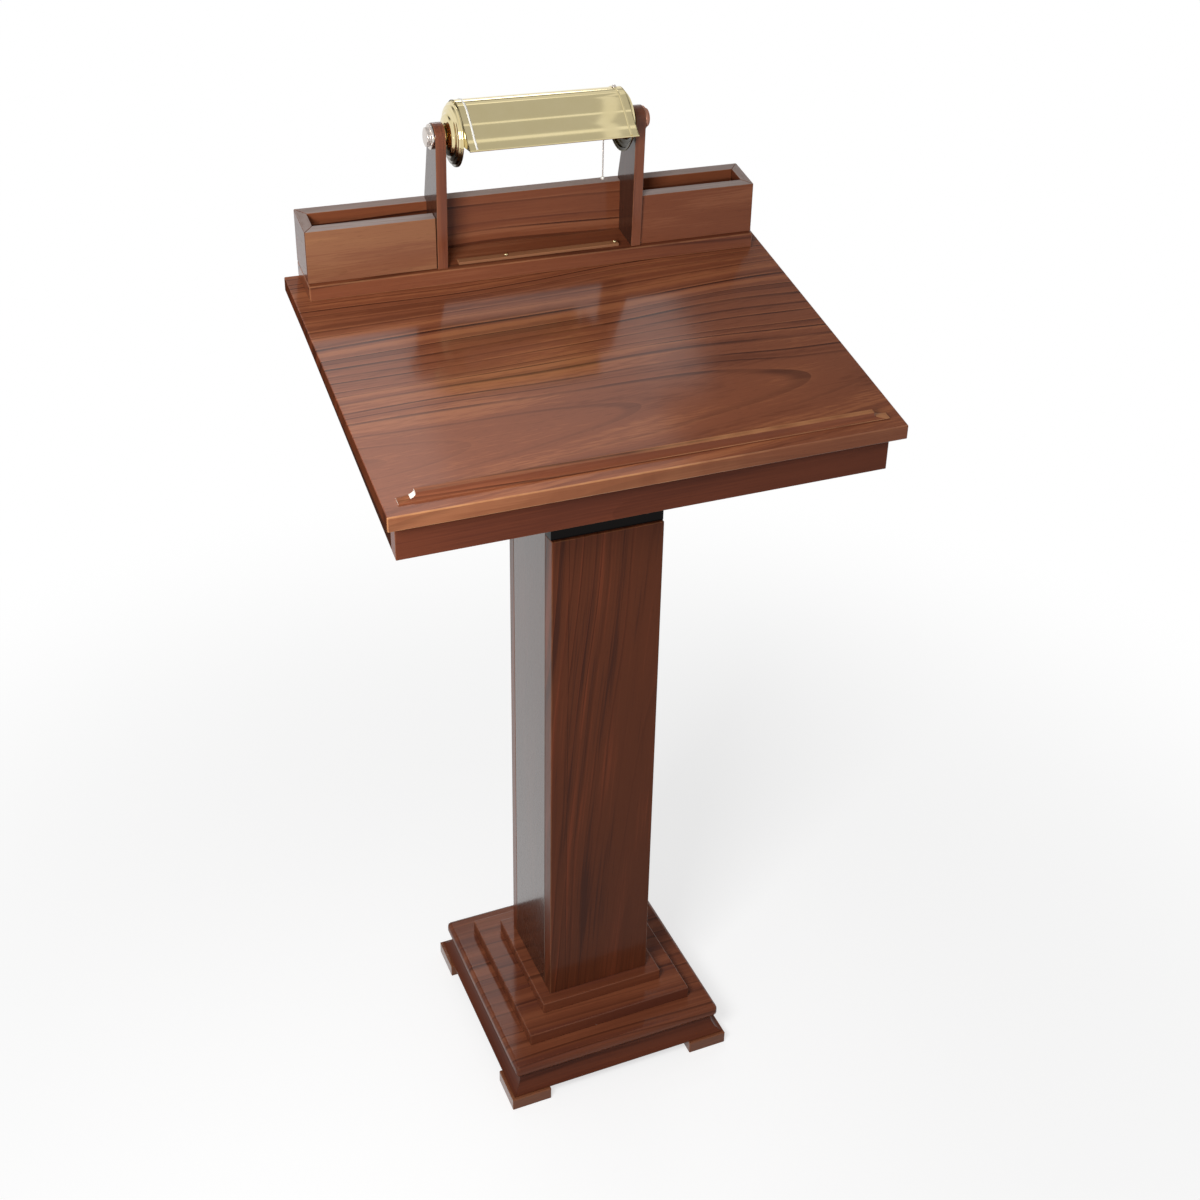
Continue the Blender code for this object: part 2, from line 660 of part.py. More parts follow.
def make_shade():
    """A folded brass trough with flat ends, open below."""
    mesh = side_prism(shade_outline(0, 0), -SHADE_END, SHADE_END)
    shade = add_piece(mesh, "lamp_shade", "brass", origin=PIVOT, smooth=True)
    inside = SHADE_END - SHADE_SHEET
    cut(shade, side_prism(shade_outline(SHADE_SHEET, SHADE_CROWN), -inside, inside))
    for side in (-1, 1):
        ends = sorted((side * (inside - SHADE_SHEET), side * (SHADE_END + SHADE_SHEET)))
        cut_round(shade, PIVOT, "X", *ends, STUD_RADIUS + GAP)

    seat = PIVOT_Z + SHADE_CROWN + GAP
    finial = turned(dome(seat, FINIAL_HEIGHT, FINIAL_RADIUS), (FINIAL_SHIFT, PIVOT_Y, 0), "Z", FINE_STEPS)
    add_piece(finial, "shade_finial", "brass", origin=PIVOT, smooth=True)


def cup_profile():
    """A stepped bell from its rim out to its hub, as (depth, radius), hollow inside."""
    outer = [(0, CUP_RADIUS), (CUP_RIM_SHARE * CUP_DEPTH, CUP_RADIUS)]
    for depth, flare in CUP_STEPS:
        outer.append((depth * CUP_DEPTH, HUB_RADIUS + (CUP_RADIUS - HUB_RADIUS) * flare))
    outer.append((CUP_DEPTH, HUB_RADIUS))
    inner = [(max(depth - CUP_WALL, 0), radius - CUP_WALL) for depth, radius in reversed(outer)]
    bore = STUD_RADIUS + GAP
    return outer + [(CUP_DEPTH, bore), (CUP_DEPTH - CUP_WALL, bore)] + inner


def make_pivots():
    """The cups, washers, hollow studs and clamping knobs at the two ends of the lamp."""
    stud_in = {"left": SHADE_END - SHADE_SHEET - GAP - STUD_HEAD, "right": SOCKET_OUT - SOCKET_THREAD + GAP}
    for name, side in (("left", -1), ("right", 1)):
        cup = [(side * (CUP_RIM + depth), radius) for depth, radius in cup_profile()]
        add_piece(turned(cup, PIVOT, "X"), "end_cup_" + name, "brass", origin=PIVOT, smooth=True)

        bore = STUD_RADIUS + GAP
        washer = [(WASHER_IN, bore), (WASHER_IN, WASHER_RADIUS)]
        washer += [(WASHER_OUT, WASHER_RADIUS), (WASHER_OUT, bore)]
        washer = [(side * x, radius) for x, radius in washer]
        add_piece(turned(washer, PIVOT, "X"), "pivot_washer_" + name, "brass", origin=PIVOT, smooth=True)

        stud = [(stud_in[name], STUD_BORE)]
        if name == "left":
            neck = stud_in[name] + STUD_HEAD
            stud += [(stud_in[name], STUD_HEAD_RADIUS), (neck, STUD_HEAD_RADIUS), (neck, STUD_RADIUS)]
        else:
            stud.append((stud_in[name], STUD_RADIUS))
        stud += [(STUD_OUT, STUD_RADIUS), (STUD_OUT, STUD_BORE)]
        stud = [(side * x, radius) for x, radius in stud]
        stud_mesh = turned(stud, PIVOT, "X", FINE_STEPS)
        add_piece(stud_mesh, "pivot_stud_" + name, "steel", origin=PIVOT, smooth=True)

        flange_out = KNOB_IN + KNOB_FLANGE
        knob = [(KNOB_IN, bore), (KNOB_IN, KNOB_FLANGE_RADIUS), (flange_out, KNOB_FLANGE_RADIUS)]
        knob += [(flange_out, KNOB_RADIUS), (KNOB_OUT - KNOB_EDGE, KNOB_RADIUS)]
        knob.append((KNOB_OUT, KNOB_CROWN_RADIUS))
        knob = [(KNOB_IN + KNOB_SOCKET, 0), (KNOB_IN + KNOB_SOCKET, bore)] + knob + [(KNOB_OUT, 0)]
        knob = [(side * x, radius) for x, radius in knob]
        add_piece(turned(knob, PIVOT, "X"), "knob_" + name, "nickel", origin=PIVOT, smooth=True)


def make_bulb():
    """A lamp holder on the right-hand stud, with a tubular bulb in it."""
    bore_end = SOCKET_IN + SOCKET_BORE_DEPTH
    thread = STUD_RADIUS + GAP
    thread_end = SOCKET_OUT - SOCKET_THREAD
    profile = [(bore_end, 0), (bore_end, SOCKET_BORE), (SOCKET_IN, SOCKET_BORE), (SOCKET_IN, SOCKET_RADIUS)]
    profile += [(SOCKET_OUT, SOCKET_RADIUS), (SOCKET_OUT, thread), (thread_end, thread), (thread_end, 0)]
    add_piece(turned(profile, PIVOT, "X"), "lamp_socket", "brass", origin=PIVOT, smooth=True)

    base_out = bore_end - GAP
    glass_out = SOCKET_IN - GAP
    base_in = glass_out + GAP
    cap = [(base_in, 0), (base_in, BULB_BASE_RADIUS), (base_out - BULB_BASE_RADIUS / 2, BULB_BASE_RADIUS)]
    cap += [(base_out, BULB_BASE_RADIUS / 2), (base_out, 0)]
    add_piece(turned(cap, PIVOT, "X"), "bulb_cap", "nickel", origin=PIVOT, smooth=True)

    glass = [(glass_out, 0), (glass_out, BULB_BASE_RADIUS), (glass_out - BULB_RADIUS / 2, BULB_RADIUS)]
    round_start = glass_out - BULB_LENGTH + BULB_RADIUS
    round_steps = 5
    for step in range(round_steps):
        angle = math.pi / 2 * step / round_steps
        glass.append((round_start - BULB_RADIUS * math.sin(angle), BULB_RADIUS * math.cos(angle)))
    glass.append((round_start - BULB_RADIUS, 0))
    add_piece(turned(glass, PIVOT, "X"), "bulb_glass", "frosted_glass", origin=PIVOT, smooth=True)


def make_pull_chain():
    """The switch spout under the lamp holder, its swinging eye, and a ball chain with a bead."""
    hang = Vector((SWITCH_SHIFT, PIVOT_Y, 0))
    spout = [(SWITCH_LOW, 0), (SWITCH_LOW, SWITCH_TIP_RADIUS), (SWITCH_TOP, SWITCH_RADIUS), (SWITCH_TOP, 0)]
    add_piece(turned(spout, hang, "Z", FINE_STEPS), "pull_switch", "brass", origin=PIVOT, smooth=True)
    pivot = (SWITCH_SHIFT, PIVOT_Y, EYE_CENTRE)
    eye = turned(ball(EYE_CENTRE, EYE_RADIUS), hang, "Z", FINE_STEPS)
    add_piece(eye, "chain_eye", "brass", origin=pivot, smooth=True)

    path = bpy.data.curves.new("pull_chain", "CURVE")
    path.dimensions = "3D"
    path.bevel_depth = CHAIN_DIAMETER / 2
    path.bevel_resolution = 2
    path.use_fill_caps = True
    line = path.splines.new("POLY")
    line.points.add(CHAIN_POINTS - 1)
    for number, point in enumerate(line.points):
        share = number / (CHAIN_POINTS - 1)
        point.co = (0, 0, CHAIN_TOP - share * CHAIN_LENGTH - EYE_CENTRE, 1)
    chain = bpy.data.objects.new("pull_chain", path)
    chain.location = pivot
    bpy.context.scene.collection.objects.link(chain)
    path.materials.append(make_material("pull_chain", *FINISHES["nickel"]))
    bead = turned(ball(BEAD_CENTRE, BEAD_RADIUS), hang, "Z", FINE_STEPS)
    add_piece(bead, "pull_bead", "white_plastic", origin=pivot, smooth=True)


def main():
    for old in list(bpy.data.objects):
        bpy.data.objects.remove(old, do_unlink=True)
    make_feet()
    make_skirt()
    make_base_boards()
    make_column()
    make_blocks_and_bolts()
    make_desk()
    make_ledge()
    make_tray()
    make_posts()
    make_shade()
    make_pivots()
    make_bulb()
    make_pull_chain()


main()
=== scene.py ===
# Dresses the standing lectern: lacquered mahogany boards, a black neck panel and a brass reading lamp.
import json
import math

import bmesh
import bpy
from mathutils import Euler, Matrix, Vector

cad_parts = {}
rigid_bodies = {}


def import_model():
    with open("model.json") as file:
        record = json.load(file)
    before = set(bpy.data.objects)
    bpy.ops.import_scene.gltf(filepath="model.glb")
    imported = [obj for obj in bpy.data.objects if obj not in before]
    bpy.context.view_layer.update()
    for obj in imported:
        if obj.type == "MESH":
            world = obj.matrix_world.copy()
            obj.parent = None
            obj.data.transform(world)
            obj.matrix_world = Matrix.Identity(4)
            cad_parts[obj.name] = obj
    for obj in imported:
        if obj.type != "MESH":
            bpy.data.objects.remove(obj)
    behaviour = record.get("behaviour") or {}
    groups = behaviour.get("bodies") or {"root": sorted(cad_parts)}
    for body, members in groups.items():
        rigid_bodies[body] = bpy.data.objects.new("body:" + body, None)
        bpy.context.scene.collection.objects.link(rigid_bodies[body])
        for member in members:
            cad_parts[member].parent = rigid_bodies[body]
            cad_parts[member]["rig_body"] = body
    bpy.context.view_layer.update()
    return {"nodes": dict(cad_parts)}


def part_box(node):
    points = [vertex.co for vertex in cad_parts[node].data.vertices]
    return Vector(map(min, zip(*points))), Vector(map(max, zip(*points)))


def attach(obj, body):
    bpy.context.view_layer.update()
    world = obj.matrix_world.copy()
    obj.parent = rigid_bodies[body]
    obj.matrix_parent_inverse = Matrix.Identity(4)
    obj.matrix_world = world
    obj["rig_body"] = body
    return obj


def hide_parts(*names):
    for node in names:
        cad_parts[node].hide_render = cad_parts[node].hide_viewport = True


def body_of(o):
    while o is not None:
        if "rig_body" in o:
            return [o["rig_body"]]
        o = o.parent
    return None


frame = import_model()
nodes = frame["nodes"]
print("frame loaded:", len(nodes), "nodes")

mm = 0.001


def nodeBox(node):
    low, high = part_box(node)
    return Vector(low), Vector(high)


def nodeCentre(node):
    low, high = nodeBox(node)
    return (low + high) / 2


def newObject(name, data):
    thing = bpy.data.objects.new(name, data)
    bpy.context.scene.collection.objects.link(thing)
    return thing


lampAxis = nodeCentre("pivot_stud_left")  # the tilt line runs along X through this point
lampAxis.x = 0


# Camera, at the photograph's viewing angle

cameraSettings = {
    "place": (-0.7353, -1.7331, 1.9219),
    "yaw": 0.4047,  # radians to the right
    "pitch": 0.4856,  # radians downwards
    "roll": -0.0167,
    "focalPixels": 1545.07,
    "axisPixel": (590, 500),  # where the view's axis meets the picture
    "framePixels": 1200,
    "sensor": 36.0,
}


def makeCamera(s):
    data = bpy.data.cameras.new("camera")
    data.sensor_width = s["sensor"]
    data.lens = s["focalPixels"] / s["framePixels"] * s["sensor"]
    data.shift_x = 0.5 - s["axisPixel"][0] / s["framePixels"]
    data.shift_y = s["axisPixel"][1] / s["framePixels"] - 0.5
    forward = Vector((
        math.sin(s["yaw"]) * math.cos(s["pitch"]),
        math.cos(s["yaw"]) * math.cos(s["pitch"]),
        -math.sin(s["pitch"]),
    ))
    right = Vector((math.cos(s["yaw"]), -math.sin(s["yaw"]), 0))
    rolled = Matrix.Rotation(s["roll"], 3, forward) @ right
    up = rolled.cross(forward)
    turn = Matrix((rolled, up, -forward)).transposed()
    camera = newObject("camera", data)
    camera.matrix_world = Matrix.Translation(s["place"]) @ turn.to_4x4()
    bpy.context.scene.camera = camera


makeCamera(cameraSettings)
print("camera placed")


# Small tools for nodes, colours and meshes

def plug(node, links):
    # sets a node's inputs; a node given as a value stands for its first output
    for name, value in links.items():
        if isinstance(value, bpy.types.Node):
            value = value.outputs[0]
        if isinstance(value, bpy.types.NodeSocket):
            node.id_data.links.new(value, node.inputs[name])
        else:
            node.inputs[name].default_value = value


def addNode(tree, kind, links=None, **settings):
    node = tree.nodes.new(kind)
    for name, value in settings.items():
        setattr(node, name, value)
    plug(node, links or {})
    return node


def newTree(name, kind, inputs, outputs):
    tree = bpy.data.node_groups.new(name, kind)
    for direction, sockets in (("INPUT", inputs), ("OUTPUT", outputs)):
        for label, sort in sockets.items():
            tree.interface.new_socket(name=label, in_out=direction, socket_type="NodeSocket" + sort)
    return tree, addNode(tree, "NodeGroupInput").outputs


smooth = dict(interpolation_type="SMOOTHSTEP")  # gives a Map Range node soft ends


def linear(code):
    channels = [int(code[i:i + 2], 16) / 255 for i in (1, 3, 5)]
    return [c / 12.92 if c <= 0.04045 else ((c + 0.055) / 1.055) ** 2.4 for c in channels] + [1.0]


def newMaterial(name, **sockets):
    material = bpy.data.materials.new(name)
    material.use_nodes = True
    shader = material.node_tree.nodes["Principled BSDF"]
    plug(shader, {socket.replace("_", " "): value for socket, value in sockets.items()})
    return material, material.node_tree, shader


def plainMesh(piece):
    # the evaluated shape becomes the piece's own mesh, and no modifier is left
    graph = bpy.context.evaluated_depsgraph_get()
    mesh = bpy.data.meshes.new_from_object(piece.evaluated_get(graph), depsgraph=graph)
    piece.modifiers.clear()
    piece.data = mesh


def toMesh(name, bm):
    mesh = bpy.data.meshes.new(name)
    bm.to_mesh(mesh)
    bm.free()
    return mesh


def addPiece(node, bm, material, name=None, extra=False, flatFaces=False):
    # a piece rides with its node and is named after it, and unless it is extra trim it stands for the node
    words = node.split("_")
    name = name or words[0] + "".join(word.capitalize() for word in words[1:])
    mesh = toMesh(name, bm)
    mesh.materials.append(material)
    mesh.shade_smooth()
    mesh.set_sharp_from_angle(angle=math.radians(40))
    piece = newObject(name, mesh)
    if flatFaces:
        weighted = piece.modifiers.new("flatFaces", "WEIGHTED_NORMAL")
        weighted.keep_sharp = True
        weighted.weight = 100
        plainMesh(piece)
    dress(piece, node, extra)
    return piece


def dress(piece, node, extra=False):
    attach(piece, body_of(nodes[node])[0])
    if not extra:
        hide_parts(node)


def merged(node):
    # a welded copy of a node's loose triangles
    bm = bmesh.new()
    bm.from_mesh(nodes[node].data)
    bmesh.ops.remove_doubles(bm, verts=bm.verts, dist=0.005 * mm)
    flat = math.radians(0.5)
    bmesh.ops.dissolve_limit(bm, angle_limit=flat, verts=bm.verts, edges=bm.edges)
    return bm


def easeEdges(bm, width):
    # rounds the long sharp edges; bolt holes and bores keep theirs
    sharp, shortest = math.radians(30), 2.5 * mm
    edges = [e for e in bm.edges if e.calc_face_angle(0) > sharp and e.calc_length() > shortest]
    bmesh.ops.bevel(bm, geom=edges, offset=width, segments=3, profile=0.5, affect="EDGES")


def markEdges(bm, widest=2.2 * mm):
    # narrow strips are the eased edges, which take a paler colour: wear, partly a painted highlight where
    # light would catch them
    wearAndHighlightLayer = bm.faces.layers.float.new("edgeWearAndHighlight")
    for face in bm.faces:
        longest = max(edge.calc_length() for edge in face.edges)
        face[wearAndHighlightLayer] = 1.0 if face.calc_area() / longest < widest else 0.0


def loft(rings, closed=False):
    # skins a row of point rings; a ring of one point is a pole
    bm = bmesh.new()
    made = [[bm.verts.new(point) for point in ring] for ring in rings]
    pairs = list(zip(made, made[1:]))
    if closed:
        pairs.append((made[-1], made[0]))
    else:
        for ring in (made[0], made[-1]):
            if len(ring) > 1:
                bm.faces.new(ring)
    for near, far in pairs:
        count = max(len(near), len(far))
        for i in range(count):
            j = (i + 1) % count
            corners = [near[i % len(near)], near[j % len(near)], far[j % len(far)], far[i % len(far)]]
            bm.faces.new(dict.fromkeys(corners))
    bmesh.ops.recalc_face_normals(bm, faces=bm.faces)
    return bm


def arc(angle, steps):
    # even steps from zero to an angle, as (cos, sin)
    return [(math.cos(angle * i / steps), math.sin(angle * i / steps)) for i in range(steps + 1)]


def turned(profile, centre, axis="X", steps=96, closed=False):
    # spins (along, radius) points round an axis through the centre
    circle = arc(math.tau, steps)[:-1]
    rings = []
    for along, radius in profile:
        ring = []
        for cos, sin in circle if radius else circle[:1]:
            y, z = radius * cos, radius * sin
            offset = {"X": (along, y, z), "Y": (z, along, y), "Z": (y, z, along)}[axis]
            ring.append(Vector(centre) + Vector(offset))
        rings.append(ring)
    return loft(rings, closed)


def softened(points, closed=False):
    # cuts the corners of an outline twice, so that turned steps get small fillets
    for _ in range(2):
        pairs = list(zip(points, points[1:]))
        if closed:
            pairs.append((points[-1], points[0]))
        cut = [] if closed else [points[0]]
        for a, b in pairs:
            for share in (0.25, 0.75):
                cut.append(tuple(p + (q - p) * share for p, q in zip(a, b)))
        points = cut if closed else cut + [points[-1]]
    return points


def join(*meshes):
    whole = meshes[0]
    for part in meshes[1:]:
        mesh = toMesh("part", part)
        whole.from_mesh(mesh)
        bpy.data.meshes.remove(mesh)
    return whole


# Geometry Nodes trees for what repeats

def geometryTree(name, inputs):
    shape = {"Geometry": "Geometry"}
    return newTree(name, "GeometryNodeTree", {**shape, **inputs}, shape)


def closeTree(tree, parts, material):
    joined = addNode(tree, "GeometryNodeJoinGeometry")
    for part in parts:
        plug(joined, {"Geometry": part})
    whole = addNode(tree, "GeometryNodeRealizeInstances", {"Geometry": joined})
    finished = addNode(tree, "GeometryNodeSetMaterial", {"Geometry": whole, "Material": material})
    addNode(tree, "NodeGroupOutput", {0: finished})


def runTree(piece, tree, values):
    modifier = piece.modifiers.new(tree.name, "NODES")
    modifier.node_group = tree
    for item in tree.interface.items_tree:
        if item.in_out == "INPUT" and item.name in values:
            modifier[item.identifier] = values[item.name]
    plainMesh(piece)


# Metals, glass and plastics

def metal(name, tint, roughness, smear, marks=0.015):
    # folded or turned metal: a clear mirror, softened by fine wiping marks and a faint tarnish
    material, tree, shader = newMaterial(name, Metallic=1.0)
    coord = addNode(tree, "ShaderNodeTexCoord").outputs["Object"]
    cloud = {"Vector": coord, "Scale": 1 / (22 * mm), "Detail": 3.0}
    tarnish = addNode(tree, "ShaderNodeTexNoise", cloud)
    shift = {"Fac": tarnish, "Color1": linear(tint[0]), "Color2": linear(tint[1])}
    colour = addNode(tree, "ShaderNodeMixRGB", shift)
    # faces that a piece marks turn near-black: painted shade inside the end cups and painted dark reflection
    # on their undersides
    paintedShade = addNode(tree, "ShaderNodeAttribute", attribute_name="paintedShade").outputs["Fac"]
    dark = {"Fac": paintedShade, "Color1": colour, "Color2": linear("#150e0a")}
    shadedColour = addNode(tree, "ShaderNodeMixRGB", dark)
    # wiping marks run along the trough, drawn 0.8 mm apart so that they show
    stretch = {"Vector": coord, "Scale": (1 / (60 * mm), 1 / (0.8 * mm), 1 / (0.8 * mm))}
    lines = addNode(tree, "ShaderNodeMapping", stretch)
    wiping = addNode(tree, "ShaderNodeTexNoise", {"Vector": lines, "Scale": 1.0})
    spread = {"Value": wiping, "To Min": roughness - smear, "To Max": roughness + smear}
    gloss = addNode(tree, "ShaderNodeMapRange", spread)
    relief = {"Height": wiping, "Strength": marks, "Distance": 0.05 * mm}
    bump = addNode(tree, "ShaderNodeBump", relief)
    plug(shader, {"Base Color": shadedColour, "Roughness": gloss, "Normal": bump})
    return material


polishedBrass = metal("polishedBrass", ("#dfcf9e", "#e6d7aa"), 0.05, 0.015, 0.001)
darkBrass = metal("tarnishedBrass", ("#a98f55", "#c9b47c"), 0.24, 0.06)
nickelPlate = metal("nickelPlate", ("#c9bfb8", "#dcd4cd"), 0.18, 0.04)
copperPaintedReflection = metal("copperPaintedReflection", ("#9c6a55", "#b58672"), 0.22, 0.05)  # copper-brown: a painted reflection of the wooden lamp post on the right knob
agedNickel = metal("agedNickel", ("#a8968a", "#c2b4a9"), 0.22, 0.05)
zincSteel = metal("zincPlatedSteel", ("#a9acb0", "#c2c4c6"), 0.34, 0.06)


def speckled(name, colours, grain, rough, bumpStrength, **sockets):
    # a moulded, fired, sprayed or sawn surface: a mottle of two tones, with its gloss between two limits
    material, tree, shader = newMaterial(name, **sockets)
    coord = addNode(tree, "ShaderNodeTexCoord").outputs["Object"]
    stretch = {"Vector": coord, "Scale": [1 / size for size in grain]}
    scaled = addNode(tree, "ShaderNodeMapping", stretch)
    mottle = addNode(tree, "ShaderNodeTexNoise", {"Vector": scaled, "Scale": 1.0, "Detail": 4.0})
    shift = {"Fac": mottle, "Color1": linear(colours[0]), "Color2": linear(colours[1])}
    colour = addNode(tree, "ShaderNodeMixRGB", shift)
    spread = {"Value": mottle, "To Min": rough[0], "To Max": rough[1]}
    gloss = addNode(tree, "ShaderNodeMapRange", spread)
    plug(shader, {"Base Color": colour, "Roughness": gloss})
    if bumpStrength:
        relief = {"Height": mottle, "Strength": bumpStrength, "Distance": 0.1 * mm}
        plug(shader, {"Normal": addNode(tree, "ShaderNodeBump", relief)})
    return material


# black spirit lacquer brushed over wood, near-black on the neck panel as painted shade for the dark reveal
# under the desk: deep, glossy, with a faint orange peel
blackShadeLacquer = speckled("blackShadeLacquer", ("#080504", "#100b09"), [6 * mm] * 3, (0.21, 0.39), 0.05,
                        Specular_IOR_Level=0.08)
# glazed china of the bead; the same white on the shade's left band is a painted highlight
chinaWhiteAndHighlight = speckled("chinaWhiteAndHighlight", ("#efece4", "#faf8f2"), [3 * mm] * 3, (0.098, 0.182), 0.02,
                       Coat_Weight=0.5)
# opal glass of a tubular bulb, etched inside so that it looks milky
opalGlass = speckled("opalGlass", ("#e9e5da", "#f4f1e8"), [9 * mm] * 3, (0.21, 0.39), 0.02,
                     Subsurface_Weight=0.2)
# black moulded nylon with a fine spark texture
mouldedNylon = speckled("mouldedNylon", ("#121212", "#1d1c1b"), [0.8 * mm] * 3, (0.315, 0.585), 0.15)
print("metals, glass and plastics mixed")


# The pull chain comes first among the pieces, because it is the object's only cord

chainSettings = {
    "ballRadius": 1.1 * mm,
    "balls": 17,
    "wireRadius": 0.35 * mm,
    "routePoints": 9,
}


def makeChain(s):
    low, high = nodeBox("pull_chain")
    middle = (low + high) / 2
    route = []
    for i in range(s["routePoints"]):
        share = i / (s["routePoints"] - 1)
        route.append(Vector((middle.x, middle.y, high.z + share * (low.z - high.z))))

    tree, given = geometryTree("ballChain", {"balls": "Int", "ballRadius": "Float", "wireRadius": "Float"})
    line = addNode(tree, "GeometryNodeMeshToCurve", {"Mesh": given["Geometry"]})
    span = addNode(tree, "GeometryNodeCurveLength", {"Curve": line})
    lastBall = addNode(tree, "ShaderNodeMath", {0: span, 1: given["ballRadius"]}, operation="SUBTRACT")
    between = {"Curve": line, 4: given["ballRadius"], 5: lastBall}  # inputs 4 and 5 are start and end lengths
    trim = addNode(tree, "GeometryNodeTrimCurve", between, mode="LENGTH")
    spaced = addNode(tree, "GeometryNodeResampleCurve", {"Curve": trim, "Count": given["balls"]})
    ballShape = {"Segments": 16, "Rings": 10, "Radius": given["ballRadius"]}
    ball = addNode(tree, "GeometryNodeMeshUVSphere", ballShape)
    balls = addNode(tree, "GeometryNodeInstanceOnPoints", {"Points": spaced, "Instance": ball})
    ringShape = {"Resolution": 10, "Radius": given["wireRadius"]}
    section = addNode(tree, "GeometryNodeCurvePrimitiveCircle", ringShape)
    sweep = {"Curve": line, "Profile Curve": section, "Fill Caps": True}
    wire = addNode(tree, "GeometryNodeCurveToMesh", sweep)
    closeTree(tree, (balls, wire), agedNickel)

    mesh = bpy.data.meshes.new("pullChain")
    mesh.from_pydata(route, [(i, i + 1) for i in range(len(route) - 1)], [])
    chain = newObject("pullChain", mesh)
    runTree(chain, tree, s)
    chain.data.shade_smooth()
    dress(chain, "pull_chain")
    return chain, route


def makeBead():
    low, high = nodeBox("pull_bead")
    radius = (high.z - low.z) / 2
    side = [(-radius * cos, radius * sin) for cos, sin in arc(math.pi, 24)[1:-1]]
    bm = turned([(-radius, 0), *side, (radius, 0)], (low + high) / 2, "Z", 32)
    return addPiece("pull_bead", bm, chinaWhiteAndHighlight)


chain, chainRoute = makeChain(chainSettings)
bead = makeBead()
print("pull chain hung")


# Lacquered mahogany

def mahoganyFigure():
    # the figure of the wood in the log's own millimetres, X along the grain: growth rings round the pith,
    # cut by the board into soft bands of tone and thin dark lines, with fine fibres and open pores
    inputs = {"Log": "Vector", "Ring": "Float", "Lines": "Float", "Dark": "Color", "Mid": "Color",
              "Light": "Color"}
    outputs = {"Colour": "Color", "Pores": "Float"}
    tree, given = newTree("mahoganyFigure", "ShaderNodeTree", inputs, outputs)

    def streaks(length, width, detail):
        # noise drawn out along the grain, in millimetres
        scale = (1 / length, 1 / width, 1 / width)
        drawn = addNode(tree, "ShaderNodeVectorMath", {0: given["Log"], 1: scale}, operation="MULTIPLY")
        return addNode(tree, "ShaderNodeTexNoise", {"Vector": drawn, "Scale": 1.0, "Detail": detail})

    # the trunk is never quite straight, so its rings sway
    flat = {0: given["Log"], 1: (0, 1, 1)}
    across = addNode(tree, "ShaderNodeVectorMath", flat, operation="MULTIPLY")
    centred = {0: streaks(480, 130, 1.0).outputs["Color"], 1: (0.5, 0.5, 0.5)}
    wander = addNode(tree, "ShaderNodeVectorMath", centred, operation="SUBTRACT")
    swayed = {0: wander, 1: (0, 34, 34), 2: across}
    sway = addNode(tree, "ShaderNodeVectorMath", swayed, operation="MULTIPLY_ADD")
    radius = addNode(tree, "ShaderNodeVectorMath", {0: sway}, operation="LENGTH").outputs["Value"]

    # near the pith the young wood is calm, with hardly any lines
    young = {"Value": radius, "From Min": 20, "From Max": 120, "To Min": 0.3}
    mature = addNode(tree, "ShaderNodeMapRange", young, **smooth)

    # tone: nearly half from soft bands that follow the rings, the rest from broad clouds and fine fibres
    count = addNode(tree, "ShaderNodeMath", {0: radius, 1: given["Ring"]}, operation="DIVIDE")
    soft = {"W": count, "Scale": 0.75, "Detail": 2.0, "Roughness": 0.5}
    bands = addNode(tree, "ShaderNodeTexNoise", soft, noise_dimensions="1D")
    evenBands = addNode(tree, "ShaderNodeMath", {0: bands, 1: 0.5}, operation="SUBTRACT")
    calm = addNode(tree, "ShaderNodeMath", {0: evenBands, 1: mature}, operation="MULTIPLY")
    clouds, fibres = streaks(330, 70, 1.0), streaks(150, 2.4, 2.0)
    tone = 0.24
    for source, weight in ((clouds, 0.32), (fibres, 0.20), (calm, 0.48)):
        tone = addNode(tree, "ShaderNodeMath", {0: source, 1: weight, 2: tone}, operation="MULTIPLY_ADD")
    colour = given["Dark"]
    for low, high, lighter in ((0.37, 0.48, "Mid"), (0.50, 0.61, "Light")):
        limits = {"Value": tone, "From Min": low, "From Max": high}
        share = addNode(tree, "ShaderNodeMapRange", limits, **smooth)
        step = {"Fac": share, "Color1": colour, "Color2": given[lighter]}
        colour = addNode(tree, "ShaderNodeMixRGB", step)

    # each ring starts pale and ends in a dark latewood line
    slow = {"W": count, "Scale": 0.35, "Detail": 0.0}
    drift = addNode(tree, "ShaderNodeTexNoise", slow, noise_dimensions="1D")
    ring = addNode(tree, "ShaderNodeMath", {0: drift, 1: 1.8, 2: count}, operation="MULTIPLY_ADD")
    part = addNode(tree, "ShaderNodeMath", {0: ring}, operation="FRACT")
    number = addNode(tree, "ShaderNodeMath", {0: ring}, operation="FLOOR")
    luck = addNode(tree, "ShaderNodeTexWhiteNoise", {"W": number}, noise_dimensions="1D")
    spell = {"Value": streaks(420, 22, 1.0), "From Min": 0.36, "From Max": 0.55, "To Min": 0.4}
    fade = addNode(tree, "ShaderNodeMapRange", spell, **smooth)
    latewood = linear("#3a1a10")
    paleStart = {"from": (0.26, 0.02), "luck": (0.75, 0.10), "colour": given["Light"]}
    darkEnd = {"from": (0.74, 0.90), "luck": (0.10, 0.65), "colour": latewood}
    for kind in (paleStart, darkEnd):
        limits = {"Value": part, "From Min": kind["from"][0], "From Max": kind["from"][1]}
        strength = addNode(tree, "ShaderNodeMapRange", limits, **smooth)
        season = {"Value": luck, "From Min": kind["luck"][0], "From Max": kind["luck"][1], "To Max": 0.9}
        year = addNode(tree, "ShaderNodeMapRange", season)
        for factor in (year, fade, mature, given["Lines"]):
            strength = addNode(tree, "ShaderNodeMath", {0: strength, 1: factor}, operation="MULTIPLY")
        lined = {"Fac": strength, "Color1": colour, "Color2": kind["colour"]}
        colour = addNode(tree, "ShaderNodeMixRGB", lined)

